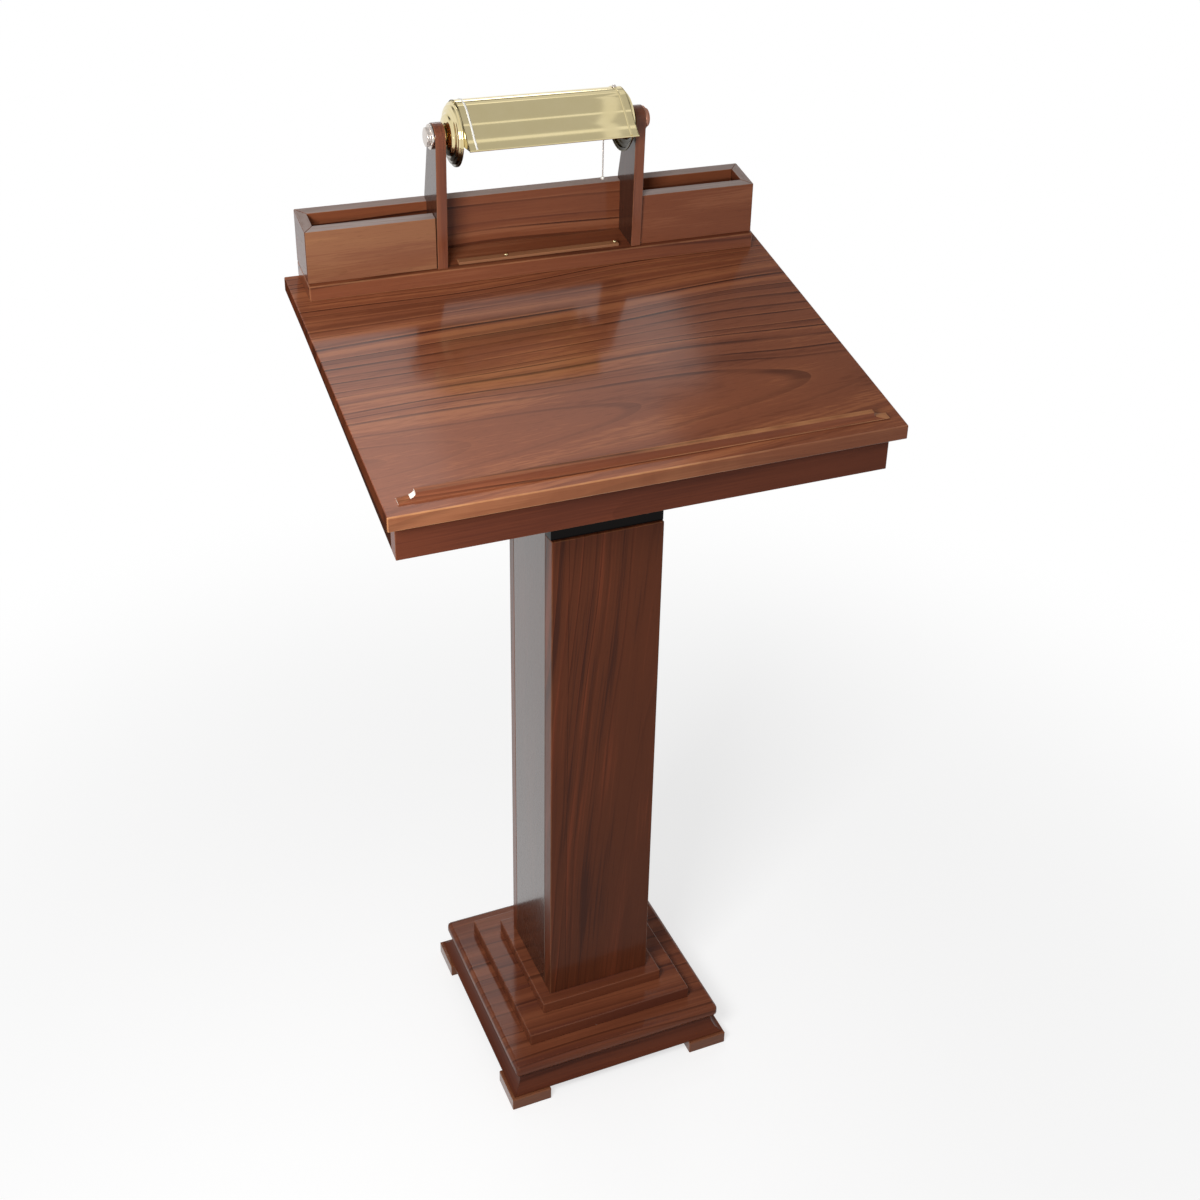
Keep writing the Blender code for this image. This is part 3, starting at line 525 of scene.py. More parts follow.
    # pores are about 0.2 mm wide; drawn 1 mm wide so that they show
    wide = {"Value": streaks(20, 1.0, 2.0), "From Min": 0.56, "From Max": 0.74}
    pores = addNode(tree, "ShaderNodeMapRange", wide, **smooth)
    faint = addNode(tree, "ShaderNodeMath", {0: pores, 1: 0.20}, operation="MULTIPLY")
    pored = addNode(tree, "ShaderNodeMixRGB", {"Fac": faint, "Color1": colour, "Color2": latewood})
    addNode(tree, "NodeGroupOutput", {"Colour": pored, "Pores": pores})
    return tree


figure = mahoganyFigure()

woodTones = {  # dark, middle and light wood between the lines
    "plain": ("#723e28", "#874d33", "#a0613f"),
    "warm": ("#83523a", "#906043", "#9d6d4a"),
    "red": ("#6d3a26", "#7d462d", "#8e563a"),
    "deep": ("#69392a", "#79432d", "#894f35"),
    # darker tone: painted shade for the aprons under the desk's overhang; the base's skirts share it
    "apron": ("#5a2e20", "#683624", "#78432c"),
    "dusk": ("#48261b", "#613320", "#763c26"),
    # darker tone: painted shade on the left-facing sides of the column, the posts and the left apron
    "umber": ("#37211a", "#43281e", "#523126"),
    "russet": ("#6f4029", "#814d33", "#905d40"),
    # pale grey: painted reflection of the bright sky on the tray's top faces
    "paintedSheen": ("#957d74", "#a4918a", "#b4a49e"),
}
lacquers = {  # weight and index of the clear coat
    "plain": (1.0, 1.22),
    "glossy": (1.0, 1.48),  # the desk, and left sides of the column and posts
    "satin": (0.62, 1.46),  # the tray's ends
    "polished": (1.0, 1.34),  # the lamp posts
    "rubbed": (0.40, 1.20),  # fronts and right sides
    "bare": (0.0, 1.20),  # undersides, the desk's ends and the left apron
}
grainTurns = {"x": Euler((0, 0, 0)), "y": Euler((0, 0, -math.pi / 2)), "z": Euler((0, math.pi / 2, 0))}


def mahogany(node, grain, pith, tilt, ring, tone, lacquer, lines, sapwood, wear, rubbed, flecks, joint):
    # mahogany under many coats of clear lacquer: red-brown striped wood, deep soft gloss, edges paler from
    # wear and in places from painted highlight
    weight, index = lacquers[lacquer]
    material, tree, shader = newMaterial(
        "lacqueredMahogany_" + node, Specular_IOR_Level=0.04 if weight else 0.0,
        Coat_Weight=weight, Coat_Roughness=0.12, Coat_IOR=index)
    lean = Euler([math.radians(angle) for angle in tilt]).to_matrix()
    turn = lean @ grainTurns[grain].to_matrix()
    middle = nodeCentre(node)
    shift = Vector(pith) - turn @ (middle / mm)
    coord = addNode(tree, "ShaderNodeTexCoord").outputs["Object"]
    cut = {"Vector": coord, "Location": shift, "Rotation": turn.to_euler("XYZ"), "Scale": [1 / mm] * 3}
    log = addNode(tree, "ShaderNodeMapping", cut)
    place = addNode(tree, "ShaderNodeSeparateXYZ", {"Vector": coord}).outputs["X"]
    if joint:
        # left of a glued joint the wood comes from elsewhere in the log
        seam = middle.x + joint * mm
        left = addNode(tree, "ShaderNodeMath", {0: place, 1: seam}, operation="LESS_THAN")
        moved = {0: left, 1: (700, 24, 16), 2: log}
        log = addNode(tree, "ShaderNodeVectorMath", moved, operation="MULTIPLY_ADD")
    if sapwood:
        # towards one side of the board the lines die out
        side = addNode(tree, "ShaderNodeSeparateXYZ", {"Vector": log}).outputs["Y"]
        span = {"Value": side, "From Min": sapwood[0], "From Max": sapwood[1], "To Min": 0.15 * lines,
                "To Max": lines}
        lines = addNode(tree, "ShaderNodeMapRange", span)

    dark, mid, light = [linear(code) for code in woodTones[tone]]
    board = {"Log": log, "Ring": ring, "Lines": lines, "Dark": dark, "Mid": mid, "Light": light}
    wood = addNode(tree, "ShaderNodeGroup", board, node_tree=figure).outputs
    layers = []  # what lies over the wood's own colour: its share and its colour
    if joint:
        # the glue line is a hair wide; drawn 1.2 mm wide so that it shows
        line = addNode(tree, "ShaderNodeMath", {0: place, 1: seam, 2: 0.6 * mm}, operation="COMPARE")
        faint = addNode(tree, "ShaderNodeMath", {0: line, 1: 0.55}, operation="MULTIPLY")
        layers.append((faint, "#3a1c12"))

    # the eased edges turn paler in patches: wear, partly a painted highlight, strongest on the desk's nose
    # and the ledge's top
    edge = addNode(tree, "ShaderNodeAttribute", attribute_name="edgeWearAndHighlight").outputs["Fac"]
    patch = {"Vector": coord, "Scale": 1 / (35 * mm), "Detail": 4.0}
    blotches = addNode(tree, "ShaderNodeTexNoise", patch)
    limits = {"Value": blotches, "From Min": 0.30, "From Max": 0.65, "To Min": wear * 0.45, "To Max": wear}
    patchy = addNode(tree, "ShaderNodeMapRange", limits)
    amount = addNode(tree, "ShaderNodeMath", {0: edge, 1: patchy}, operation="MULTIPLY")
    if rubbed:
        # the pale edge colour fades from one end of the board to the other: a painted highlight falling off
        # along the desk's nose and the ledge's top
        span = {"Value": place, "From Min": rubbed[0] * mm, "From Max": rubbed[1] * mm, "To Min": 0.2}
        share = addNode(tree, "ShaderNodeMapRange", span)
        amount = addNode(tree, "ShaderNodeMath", {0: amount, 1: share}, operation="MULTIPLY")
    layers.append((amount, "#c0865a"))
    # white mark: the ledge's left end takes a painted glint
    whiteMark = addNode(tree, "ShaderNodeAttribute", attribute_name="paintedGlint").outputs["Fac"]
    if flecks:
        # here and there a fleck of the edge is kicked off, down to the white ground coat
        grit = {"Vector": coord, "Scale": 1 / (7 * mm), "Detail": 1.0}
        specks = addNode(tree, "ShaderNodeTexNoise", grit)
        rare = {"Value": specks, "From Min": 0.74, "From Max": 0.77, "To Max": flecks}
        kicked = addNode(tree, "ShaderNodeMapRange", rare)
        whiteMark = addNode(tree, "ShaderNodeMath", {0: kicked, 1: edge}, operation="MULTIPLY")
    layers.append((whiteMark, "#efe6dc"))
    colour = wood["Colour"]
    for share, code in layers:
        over = {"Fac": share, "Color1": colour, "Color2": linear(code)}
        colour = addNode(tree, "ShaderNodeMixRGB", over)

    # the lacquer has sunk a little into the pores
    gloss = addNode(tree, "ShaderNodeMapRange", {"Value": wood["Pores"], "To Min": 0.30, "To Max": 0.45})
    sunk = {"Height": wood["Pores"], "Strength": 0.08, "Distance": 0.06 * mm}
    relief = addNode(tree, "ShaderNodeBump", sunk, invert=True)
    plug(shader, {"Base Color": colour, "Roughness": gloss, "Normal": relief})
    return material


# each board: the way its grain runs, its middle's place from the log's pith in mm, the log's lean in degrees

deskSlope = 15.41  # degrees
plainBoard = dict(grain="x", tilt=(0, 1, 1), ring=18, tone="plain", lacquer="plain", lines=1.0, sapwood=None,
                  wear=0.12, rubbed=None, flecks=0, joint=0)

# faces that look one way may have a finish or a lipping of their own
topEdge = dict(facing=(0, 0, 1), tone="paintedSheen", lines=0.2)  # pale grey: a painted reflection of the bright sky on the tray's top faces
deskLipping = dict(facing=(0, -1, 0), pith=(600, 120, 90), tilt=(0, 0, 1), tone="red", lacquer="plain",
                   lines=0.25, sapwood=None)
deskEnds = [dict(facing=(side, 0, 0), tone="dusk", lacquer="bare", lines=0.4) for side in (-1, 1)]
topFace = dict(facing=(0, 0, 1), lacquer="plain")
underside = dict(facing=(0, 0, -1), lacquer="bare")
# the posts' left sides take the darker left tone: painted shade
postSide = dict(facing=(-1, 0, 0), tone="umber", lacquer="glossy", lines=0.3)

apron = dict(ease=0.8, edges=[underside])
tray = dict(ease=0.8, edges=[topEdge])
trayEnd = dict(tray, grain="y", tilt=(0, 0, 2), tone="dusk", lacquer="satin")
post = dict(grain="z", ease=1.0, tone="red", lacquer="polished", lines=0.5, edges=[postSide])
column = dict(grain="z", tone="dusk", wear=0.15)
columnSide = dict(column, tilt=(0, 1.2, 1), ease=0.8)
plinth = dict(tilt=(0, 0.5, 1), tone="deep", lines=0.6, wear=0.06, flecks=0.6)
boards = {
    # the desk's and the ledge's high edge wear, fading along the board, paints the highlight on the desk's
    # nose and the ledge's top
    "desk_top": dict(pith=(300, 126, 42), tilt=(-deskSlope, -4.5, -3), ring=12, lacquer="glossy", wear=0.95,
                     rubbed=(170, 20), sapwood=(-60, 20), edges=[deskLipping, underside, *deskEnds]),
    "book_ledge": dict(pith=(900, 120, 60), wear=0.9, rubbed=(-40, 60)),
    # the front and right aprons take the darker apron tone: painted shade under the desk's overhang
    "apron_front": dict(apron, pith=(1500, 90, 20), tilt=(0, 0.5, -0.5), tone="apron", lacquer="rubbed",
                        lines=0.3, wear=0.2),
    "apron_back": dict(apron, pith=(2100, -90, 15), tone="deep"),
    # the left apron takes the darker left tone: painted shade
    "apron_left": dict(apron, grain="y", pith=(2700, 85, 10), tilt=(0, 0, 1), tone="umber", lacquer="bare",
                       lines=0.5),
    "apron_right": dict(apron, grain="y", pith=(3300, -85, 10), tilt=(0, 0, -1), tone="apron",
                        lacquer="rubbed", lines=0.5),
    "tray_base": dict(pith=(3900, 40, 80), tilt=(0, 0.5, 0.5), tone="red", wear=0.3),
    "tray_back": dict(tray, pith=(4500, 20, 210), tilt=(0, 0.4, 0.3), tone="red"),
    "tray_front_left": dict(tray, pith=(5100, 90, 10), tilt=(0, 1, 2), tone="warm", lines=0.15),
    "tray_front_right": dict(tray, pith=(5700, 100, 10), tilt=(0, 1, -2), tone="red", lines=0.4),
    "tray_end_left": dict(trayEnd, pith=(6300, 90, 0)),
    "tray_end_right": dict(trayEnd, pith=(6900, -90, 0)),
    "pen_rail": dict(pith=(7500, 50, 90), ease=0.5, tone="warm", wear=0.25),
    "lamp_post_left": dict(post, pith=(8100, 20, 90)),
    "lamp_post_right": dict(post, pith=(8700, 15, -95), tilt=(0, 1, -1)),
    "column_front": dict(column, pith=(9300, 40, 70), tilt=(0, -4, 1), ring=11, lacquer="rubbed", lines=0.55,
                         joint=-57),
    "column_back": dict(column, pith=(10100, -90, 30), tilt=(0, 1, 2.4)),
    # the column's left side takes the darker left tone: painted shade
    "column_left": dict(columnSide, pith=(10900, 10, 95), tone="umber", lacquer="glossy", lines=0.3),
    "column_right": dict(columnSide, pith=(11700, 8, -95), lacquer="rubbed", lines=0.5),
    "top_step": dict(plinth, pith=(12500, 130, 60)),
    "middle_step": dict(plinth, pith=(13100, -260, 60)),
    "base_board": dict(plinth, pith=(13700, 280, 60), lacquer="rubbed", edges=[topFace]),
}
for number, (side, grain) in enumerate((("front", "x"), ("back", "x"), ("left", "y"), ("right", "y"))):
    boards["skirt_" + side] = dict(grain=grain, pith=(14300 + 600 * number, 70, 40), tone="apron",
                                   lacquer="rubbed", wear=0.06)
for number, corner in enumerate(("front_left", "front_right", "back_left", "back_right")):
    boards["foot_" + corner] = dict(pith=(16700 + 400 * number, 70, 50), tilt=(0, 2, 2), ease=3.0,
                                    tone="russet", lines=0.3, wear=0.06)


def makeBoard(node, ease=0, edges=(), **cut):
    finish = {**plainBoard, **cut}
    bm = merged(node)
    if ease:
        easeEdges(bm, ease * mm)
    markEdges(bm)
    if node == "desk_top":
        markNose(bm)
    if node == "book_ledge":
        markLedge(bm)
    for number, edge in enumerate(edges):
        for face in bm.faces:
            if face.normal.dot(Vector(edge["facing"])) > 0.75:
                face.material_index = number + 1
    piece = addPiece(node, bm, mahogany(node, **finish), flatFaces=True)
    for edge in edges:
        own = {**finish, **edge}
        del own["facing"]
        piece.data.materials.append(mahogany(node, **own))


def markNose(bm):
    # on the desk the pale edge colour stays only at its front edges, and a little on its front face: a
    # painted highlight along the nose
    wearAndHighlightLayer = bm.faces.layers.float["edgeWearAndHighlight"]
    nose = min(vertex.co.y for vertex in bm.verts) + 12 * mm
    for face in bm.faces:
        if face.calc_center_median().y > nose:
            face[wearAndHighlightLayer] = 0.0
        elif face.normal.y < -0.99:
            face[wearAndHighlightLayer] = 0.18


def markLedge(bm):
    # the ledge's top takes the pale edge colour, a painted highlight, and its left end a painted white glint
    wearAndHighlightLayer = bm.faces.layers.float["edgeWearAndHighlight"]
    whiteMark = bm.faces.layers.float.new("paintedGlint")
    deskUp = Vector((0, -math.sin(math.radians(deskSlope)), math.cos(math.radians(deskSlope))))
    for face in bm.faces:
        face[wearAndHighlightLayer] = 0.75 if face.normal.dot(deskUp) > 0.95 else 0.0
        face[whiteMark] = 0.85 if face.normal.x < -0.3 else 0.0


for node, settings in boards.items():
    makeBoard(node, **settings)
print("boards cut:", len(boards))

# the neck panel fills the reveal under the desk; its near-black is painted shade
neckPanel = merged("neck_panel")
easeEdges(neckPanel, 0.5 * mm)
addPiece("neck_panel", neckPanel, blackShadeLacquer, flatFaces=True)


# Brass shade

shadeSettings = {
    "length": 236 * mm,
    "sheet": 1.2 * mm,
    "crown": 44.5 * mm,  # above the tilt line
    "topRadius": 35 * mm,
    "wingAngle": math.radians(47),
    "wingLength": 36 * mm,
    "lipAngle": math.radians(43.5),
    "lipLength": 20 * mm,
    "hemRadius": 1.2 * mm,
    "wingBulge": 0.7 * mm,
    "wingSteps": 8,
    "ringPlace": 107.5 * mm,  # a band near each end
    "ringRadius": 1.5 * mm,
    "ringTrim": 0.88,  # share of the lip that a band covers
    "arcSteps": 20,
}


def shadeHalf(s, inset):
    # half of the section, crown to lip, as (out, up) from the tilt line
    radius = s["topRadius"] - inset
    arcCentre = s["crown"] - s["topRadius"]
    crown = arc(s["wingAngle"], s["arcSteps"])
    half = [(radius * sin, arcCentre + radius * cos) for cos, sin in crown]
    out, up = s["wingAngle"], s["lipAngle"]
    bend = (out + up) / 2
    wing = (s["topRadius"] * math.sin(out) + s["wingLength"] * math.cos(out),
            arcCentre + s["topRadius"] * math.cos(out) - s["wingLength"] * math.sin(out))
    lip = (wing[0] + s["lipLength"] * math.cos(up), wing[1] - s["lipLength"] * math.sin(up))
    start = Vector(half[-1])
    end = Vector((wing[0] - inset * math.sin(bend), wing[1] - inset * math.cos(bend)))
    for step in range(1, s["wingSteps"] + 1):
        share = step / s["wingSteps"]
        swell = 4 * s["wingBulge"] * share * (1 - share)
        half.append(tuple(start.lerp(end, share) + swell * Vector((math.sin(out), math.cos(out)))))
    half.append((lip[0] - inset * math.sin(up), lip[1] - inset * math.cos(up)))
    return half


def shadeLine(s, inset):
    half = shadeHalf(s, inset)
    return [(-out, up) for out, up in reversed(half[1:])] + half


def along(x, outline):
    return [lampAxis + Vector((x, out, up)) for out, up in outline]


def tube(points, radius):
    # a closed tube along points, with its ends filled
    circle = arc(math.tau, 12)[:-1]
    rings = []
    for i, point in enumerate(points):
        ahead = (points[min(i + 1, len(points) - 1)] - points[max(i - 1, 0)]).normalized()
        side = ahead.orthogonal().normalized() if i == 0 else (side - ahead * side.dot(ahead)).normalized()
        other = ahead.cross(side)
        rings.append([point + radius * (cos * side + sin * other) for cos, sin in circle])
    return loft(rings)


def makeShade(s):
    end = s["length"] / 2
    outer, inner = shadeLine(s, 0), shadeLine(s, s["sheet"])
    section = outer + inner[::-1]
    stations = 12
    parts = [loft([along(-end + s["length"] * i / stations, section) for i in range(stations + 1)])]
    for side in (-1, 1):
        # a flat plate closes each end, and a hem stiffens each lip
        parts.append(loft([along(side * x, outer) for x in (end - s["sheet"], end)]))
        lip = Vector(shadeHalf(s, s["hemRadius"] / 2)[-1])
        lip -= s["hemRadius"] * Vector((math.cos(s["lipAngle"]), -math.sin(s["lipAngle"])))
        hem = [lampAxis + Vector((x * end, side * lip[0], lip[1])) for x in (-1, -0.5, 0, 0.5, 1)]
        parts.append(tube(hem, s["hemRadius"]))
    addPiece("lamp_shade", join(*parts), polishedBrass, name="brassShade")


def makeBands(s):
    # a beading wire round the shade near each end; the left one is coloured white as a painted highlight
    bands = ((-1, "shadeBandLeft", chinaWhiteAndHighlight, "white_plastic"),
             (1, "shadeBandRight", polishedBrass, "brass"))
    for side, name, finish, slot in bands:
        wire = along(side * s["ringPlace"], shadeLine(s, 0.4 * mm))
        wire[0] = wire[1].lerp(wire[0], s["ringTrim"])
        wire[-1] = wire[-2].lerp(wire[-1], s["ringTrim"])
        addPiece("lamp_shade", tube(wire, s["ringRadius"]), finish, name=name, extra=True)


makeShade(shadeSettings)
makeBands(shadeSettings)
print("shade folded")


# Turned pieces of the lamp; outlines are (along, radius) points

studBore = 4.8 * mm  # takes the pivot studs


def lying(node, side=1):
    # the ends of a piece turned about the tilt line, left to right or the other way, and its greatest radius
    low, high = nodeBox(node)
    start, end = (low.x, high.x) if side > 0 else (high.x, low.x)
    return start, end, (high.z - low.z) / 2


def standing(node):
    # the foot of an upright turned piece, its greatest radius and its height
    low, high = nodeBox(node)
    foot = (low + high) / 2
    foot.z = low.z
    return foot, (high.x - low.x) / 2, high.z - low.z


cupSettings = {
    "hubRadius": 14 * mm,
    "wall": 1.3 * mm,
    "steps": [  # share of the depth from the rim, share of the flare from the hub
        (0.0, 1.0), (0.10, 1.0), (0.17, 0.985), (0.20, 0.90), (0.30, 0.885), (0.42, 0.86), (0.45, 0.74),
        (0.53, 0.70), (0.56, 0.54), (0.66, 0.49), (0.80, 0.45), (0.86, 0.40), (0.90, 0.22), (1.0, 0.10),
        (1.0, 0.0),
    ],
}


def makeCup(side, name, s):
    node = "end_cup_" + name
    rim, hub, rimRadius = lying(node, side)
    hubRadius, wall = s["hubRadius"], s["wall"]
    outer = []
    for depth, flare in s["steps"]:
        outer.append((rim + (hub - rim) * depth, hubRadius + (rimRadius - hubRadius) * flare))
    outer = softened(outer)
    inner = []
    for x, radius in reversed(outer):
        inner.append((x - side * wall if abs(x - rim) > wall else rim, radius - wall))
    profile = outer + [(hub, studBore), (hub - side * wall, studBore)] + inner
    bm = turned(profile, lampAxis, closed=True)
    paintedShade = bm.faces.layers.float.new("paintedShade")
    for face in bm.faces:
        # painted shade inside the cup, and a painted dark reflection on its underside, darker further below
        # the tilt line
        spoke = face.calc_center_median() - lampAxis
        spoke.x = 0
        inside = face.normal.dot(spoke) < 0
        below = -spoke.z / rimRadius
        face[paintedShade] = 0.97 if inside else min(max((below - 0.15) / 0.35, 0), 0.9)
    addPiece(node, bm, polishedBrass)


def makeWasher(name):
    node = "pivot_washer_" + name
    start, end, radius = lying(node)
    profile = [(start, studBore), (start, radius), (end, radius), (end, studBore)]
    bm = turned(softened(profile, closed=True), lampAxis, closed=True)
    addPiece(node, bm, darkBrass)


knobSettings = {
    "flange": 3.5 * mm,
    "bodyRadius": 12.0 * mm,
    "socketDepth": 6 * mm,
    "ridges": 40,
    "ridgeRadius": 0.75 * mm,
}


def knurlTree(name, material):
    inputs = {"ridges": "Int", "ridgeRadius": "Float", "gripRadius": "Float", "gripLength": "Float",
              "middle": "Vector"}
    tree, given = geometryTree(name, inputs)
    onSide = (0, math.pi / 2, 0)
    circle = {"Vertices": given["ridges"], "Radius": given["gripRadius"]}
    ring = addNode(tree, "GeometryNodeMeshCircle", circle)
    upright = {"Geometry": ring, "Translation": given["middle"], "Rotation": onSide}
    placed = addNode(tree, "GeometryNodeTransform", upright)
    rod = {"Vertices": 10, "Radius": given["ridgeRadius"], "Depth": given["gripLength"]}
    ridge = addNode(tree, "GeometryNodeMeshCylinder", rod)
    lay = {"Points": placed, "Instance": ridge, "Rotation": onSide}
    ridges = addNode(tree, "GeometryNodeInstanceOnPoints", lay)
    closeTree(tree, (given["Geometry"], ridges), material)
    return tree


def makeKnob(side, name, finish, s):
    node, radius = "knob_" + name, s["bodyRadius"]
    start, out, flange = lying(node, side)
    flangeOut = start + side * s["flange"]
    body = [(start, flange - 0.6 * mm), (start + side * 0.6 * mm, flange),
            (flangeOut - side * 0.8 * mm, flange), (flangeOut, flange - 1.2 * mm),
            (flangeOut + side * 0.2 * mm, radius), (out - side * 1.2 * mm, radius),
            (out - side * 0.3 * mm, radius - 1.8 * mm), (out, radius * 0.5), (out, 0)]
    bottom = start + side * s["socketDepth"]
    socket = [(bottom, 0), (bottom, studBore), (start, studBore)]
    piece = addPiece(node, turned(socket + softened(body), lampAxis), finish)
    grip = abs(out - start) - s["flange"] - 1.6 * mm
    middle = flangeOut + side * (0.3 * mm + grip / 2)
    grips = {"gripRadius": radius - 0.25 * mm, "gripLength": grip, "middle": (middle, lampAxis.y, lampAxis.z)}
    runTree(piece, knurlTree("knurledGrip_" + name, finish), {**s, **grips})


# the right knob takes copper-brown, a painted reflection of the wooden post beside it
for side, name, finish in ((-1, "left", nickelPlate), (1, "right", copperPaintedReflection)):
    makeCup(side, name, cupSettings)
    makeWasher(name)
    makeKnob(side, name, finish, knobSettings)

socketSettings = {
    "bore": 11.2 * mm,
    "boreDepth": 24 * mm,
    "threadDepth": 9 * mm,
    "beads": (0.16, 0.62),  # shares of the length from the mouth
    "beadRise": 0.7 * mm,
}


def makeSocket(s):
    # a brass lamp holder with a rolled mouth and two pressed beads
    mouth, back, radius = lying("lamp_socket")
    shell = radius - s["beadRise"]
    outer = [(mouth, s["bore"]), (mouth, radius)]
    for share in s["beads"]:
        x = mouth + (back - mouth) * share
        outer += [(x - 2.4 * mm, shell), (x - 1.2 * mm, shell), (x, radius), (x + 1.2 * mm, shell)]
    outer += [(back - 5 * mm, shell), (back - 1 * mm, radius - 3 * mm), (back, radius - 5 * mm)]
    bottom, thread = mouth + s["boreDepth"], back - s["threadDepth"]
    profile = [(bottom, 0), (bottom, s["bore"])] + softened(outer)
    profile += [(back, studBore), (thread, studBore), (thread, 0)]
    addPiece("lamp_socket", turned(profile, lampAxis), darkBrass)


def makeBulb():
    tip, foot, radius = lying("bulb_glass")
    neck, start = 10.6 * mm, tip + radius
    shoulder = softened([(foot, neck), (foot - radius * 0.2, neck), (foot - radius * 0.7, radius)])
    dome = [(start - radius * sin, radius * cos) for cos, sin in arc(math.pi / 2, 16)[1:-1]]
    bm = turned([(foot, 0), *shoulder, *dome, (tip, 0)], lampAxis, steps=64)
    addPiece("bulb_glass", bm, opalGlass)


def makeFinial():
    foot, radius, height = standing("shade_finial")
    profile = [(0, 0), (0, radius), (height * 0.25, radius), (height * 0.35, radius * 0.8),
               (height * 0.8, radius * 0.7), (height, radius * 0.35), (height, 0)]
    addPiece("shade_finial", turned(softened(profile), foot, "Z", 48), nickelPlate)


def makeSwitch():
    foot, wide, drop = standing("pull_switch")
    tip = 3.5 * mm
    profile = [(0, 0), (0, tip), (drop * 0.3, tip), (drop * 0.4, tip * 1.15), (drop * 0.75, wide * 0.85),
               (drop * 0.8, wide), (drop, wide), (drop, 0)]
    addPiece("pull_switch", turned(softened(profile), foot, "Z", 48), darkBrass)


def makeEye():
    # a small ring under the switch that the chain hangs from
    low, high = nodeBox("chain_eye")
    wire = 0.5 * mm
    reach = (high.z - low.z) / 2 - wire
    section = [(wire * sin, reach + wire * cos) for cos, sin in arc(math.tau, 12)[:-1]]
    bm = turned(section, (low + high) / 2, "X", 32, closed=True)
    addPiece("chain_eye", bm, nickelPlate)


def makePin(node):
    foot, radius, tall = standing(node)
    shank, head = 1.2 * mm, 1.8 * mm
    dome = head * 0.6
    stem = [(0, 0), (0, shank), (tall - head, shank), (tall - head, radius), (tall - dome, radius)]
    top = [(tall - dome * (1 - sin), radius * cos) for cos, sin in arc(math.pi / 2, 10)[1:-1]]
    addPiece(node, turned([*stem, *top, (tall, 0)], foot, "Z", 40), polishedBrass)


def makeGrommet():
    low, high = nodeBox("cord_grommet")
    centre = (low + high) / 2
    flange, sleeve, bore, lip = (high.x - low.x) / 2, 11 * mm, 5 * mm, 3 * mm
    front, back = low.y - centre.y, high.y - centre.y
    profile = [(front, bore), (front, sleeve), (back - lip, sleeve), (back - lip, flange),
               (back - 1 * mm, flange), (back, flange - 2 * mm), (back, bore + 1 * mm), (back - 1 * mm, bore)]
    bm = turned(softened(profile, closed=True), centre, "Y", 64, closed=True)
    addPiece("cord_grommet", bm, mouldedNylon)


makeSocket(socketSettings)
makeBulb()
makeFinial()
makeSwitch()
makeEye()
makePin("pen_rail_pin_left")
makePin("pen_rail_pin_right")
makeGrommet()
print("lamp turned and fitted")


# Hidden structure keeps its own shape and gets its real finish

# planed pine, bare inside the column and stained under the desk: brown grain lines about 6 mm apart
pineTones = {"bare": ("#a9804f", "#d8b684"), "stained": ("#4a2c1d", "#6a422a")}
pineGrain = (120 * mm, 6 * mm, 6 * mm)
pineBlocks = {"column_foot_block": "bare", "column_head_block": "bare", "desk_bearer": "stained"}
steelNodes = ("base_bolt_left", "base_bolt_right", "desk_bolt_left", "desk_bolt_right", "pivot_stud_left",
              "pivot_stud_right")


def paint(node, material):
    slots = nodes[node].data.materials
    slots.clear()
    slots.append(material)


for node, finish in pineBlocks.items():
    paint(node, speckled("sawnPine_" + node, pineTones[finish], pineGrain, (0.55, 0.75), 0))
for node in steelNodes:
    paint(node, zincSteel)
paint("bulb_cap", nickelPlate)
print("hidden pieces finished")


# Floor, light and background

studio = {
    "floorReach": 14.0,
    "fadeStart": 0.5,  # the floor turns plain white between these distances from the column
    "fadeEnd": 1.9,
    "floorGrey": 0.45,
    "floorLift": 0.67,
    "bounceGrey": 0.50,  # what the floor throws back up
    "ambient": 0.25,
    "leftWall": 0.95,  # what the cups mirror
    "ceiling": 0.60,  # what the shade mirrors
    "darkCeiling": 0.06,  # behind the lectern, what the desk mirrors beside the softboxes
    "softboxes": {  # those without a target shine straight down
        "key": dict(place=(-0.95, -0.98, 1.58), target=(0, -0.1, 1.0), size=(0.6, 0.6), watts=21.5),
        "haze": dict(place=(0.77, 1.30, 3.2), size=(0.70, 0.9), watts=1.45),
        "hazeLeft": dict(place=(0.06, 1.30, 3.2), size=(0.72, 0.9), watts=2.9),
        "window": dict(place=(1.19, 1.465, 3.2), size=(0.25, 0.43), watts=0.36),
        "gap": dict(place=(0.775, 1.62, 3.2), size=(0.35, 0.20), watts=0.16),
        "baseHaze": dict(place=(0.97, 2.92, 3.2), size=(0.8, 0.8), watts=7.0),
        "bandHigh": dict(place=(0.90, 0.63, 3.2), size=(0.045, 0.73), watts=0.030, turn=-10.3),
        "bandLow": dict(place=(0.865, -0.275, 3.2), size=(0.045, 1.06), watts=0.046, turn=5),
        "shadeLine": dict(place=(0.70, -0.46, 3.2), size=(0.9, 0.05), watts=0.065),
    },
}
white = linear("#ffffff")


def seenPlainly(tree):
    # 1 where the camera, a mirror or clear glass looks at the surface
    path = addNode(tree, "ShaderNodeLightPath").outputs
    plainly = path["Is Camera Ray"]
    for ray in ("Is Glossy Ray", "Is Transmission Ray"):
        plainly = addNode(tree, "ShaderNodeMath", {0: plainly, 1: path[ray]}, operation="MAXIMUM")
    return plainly


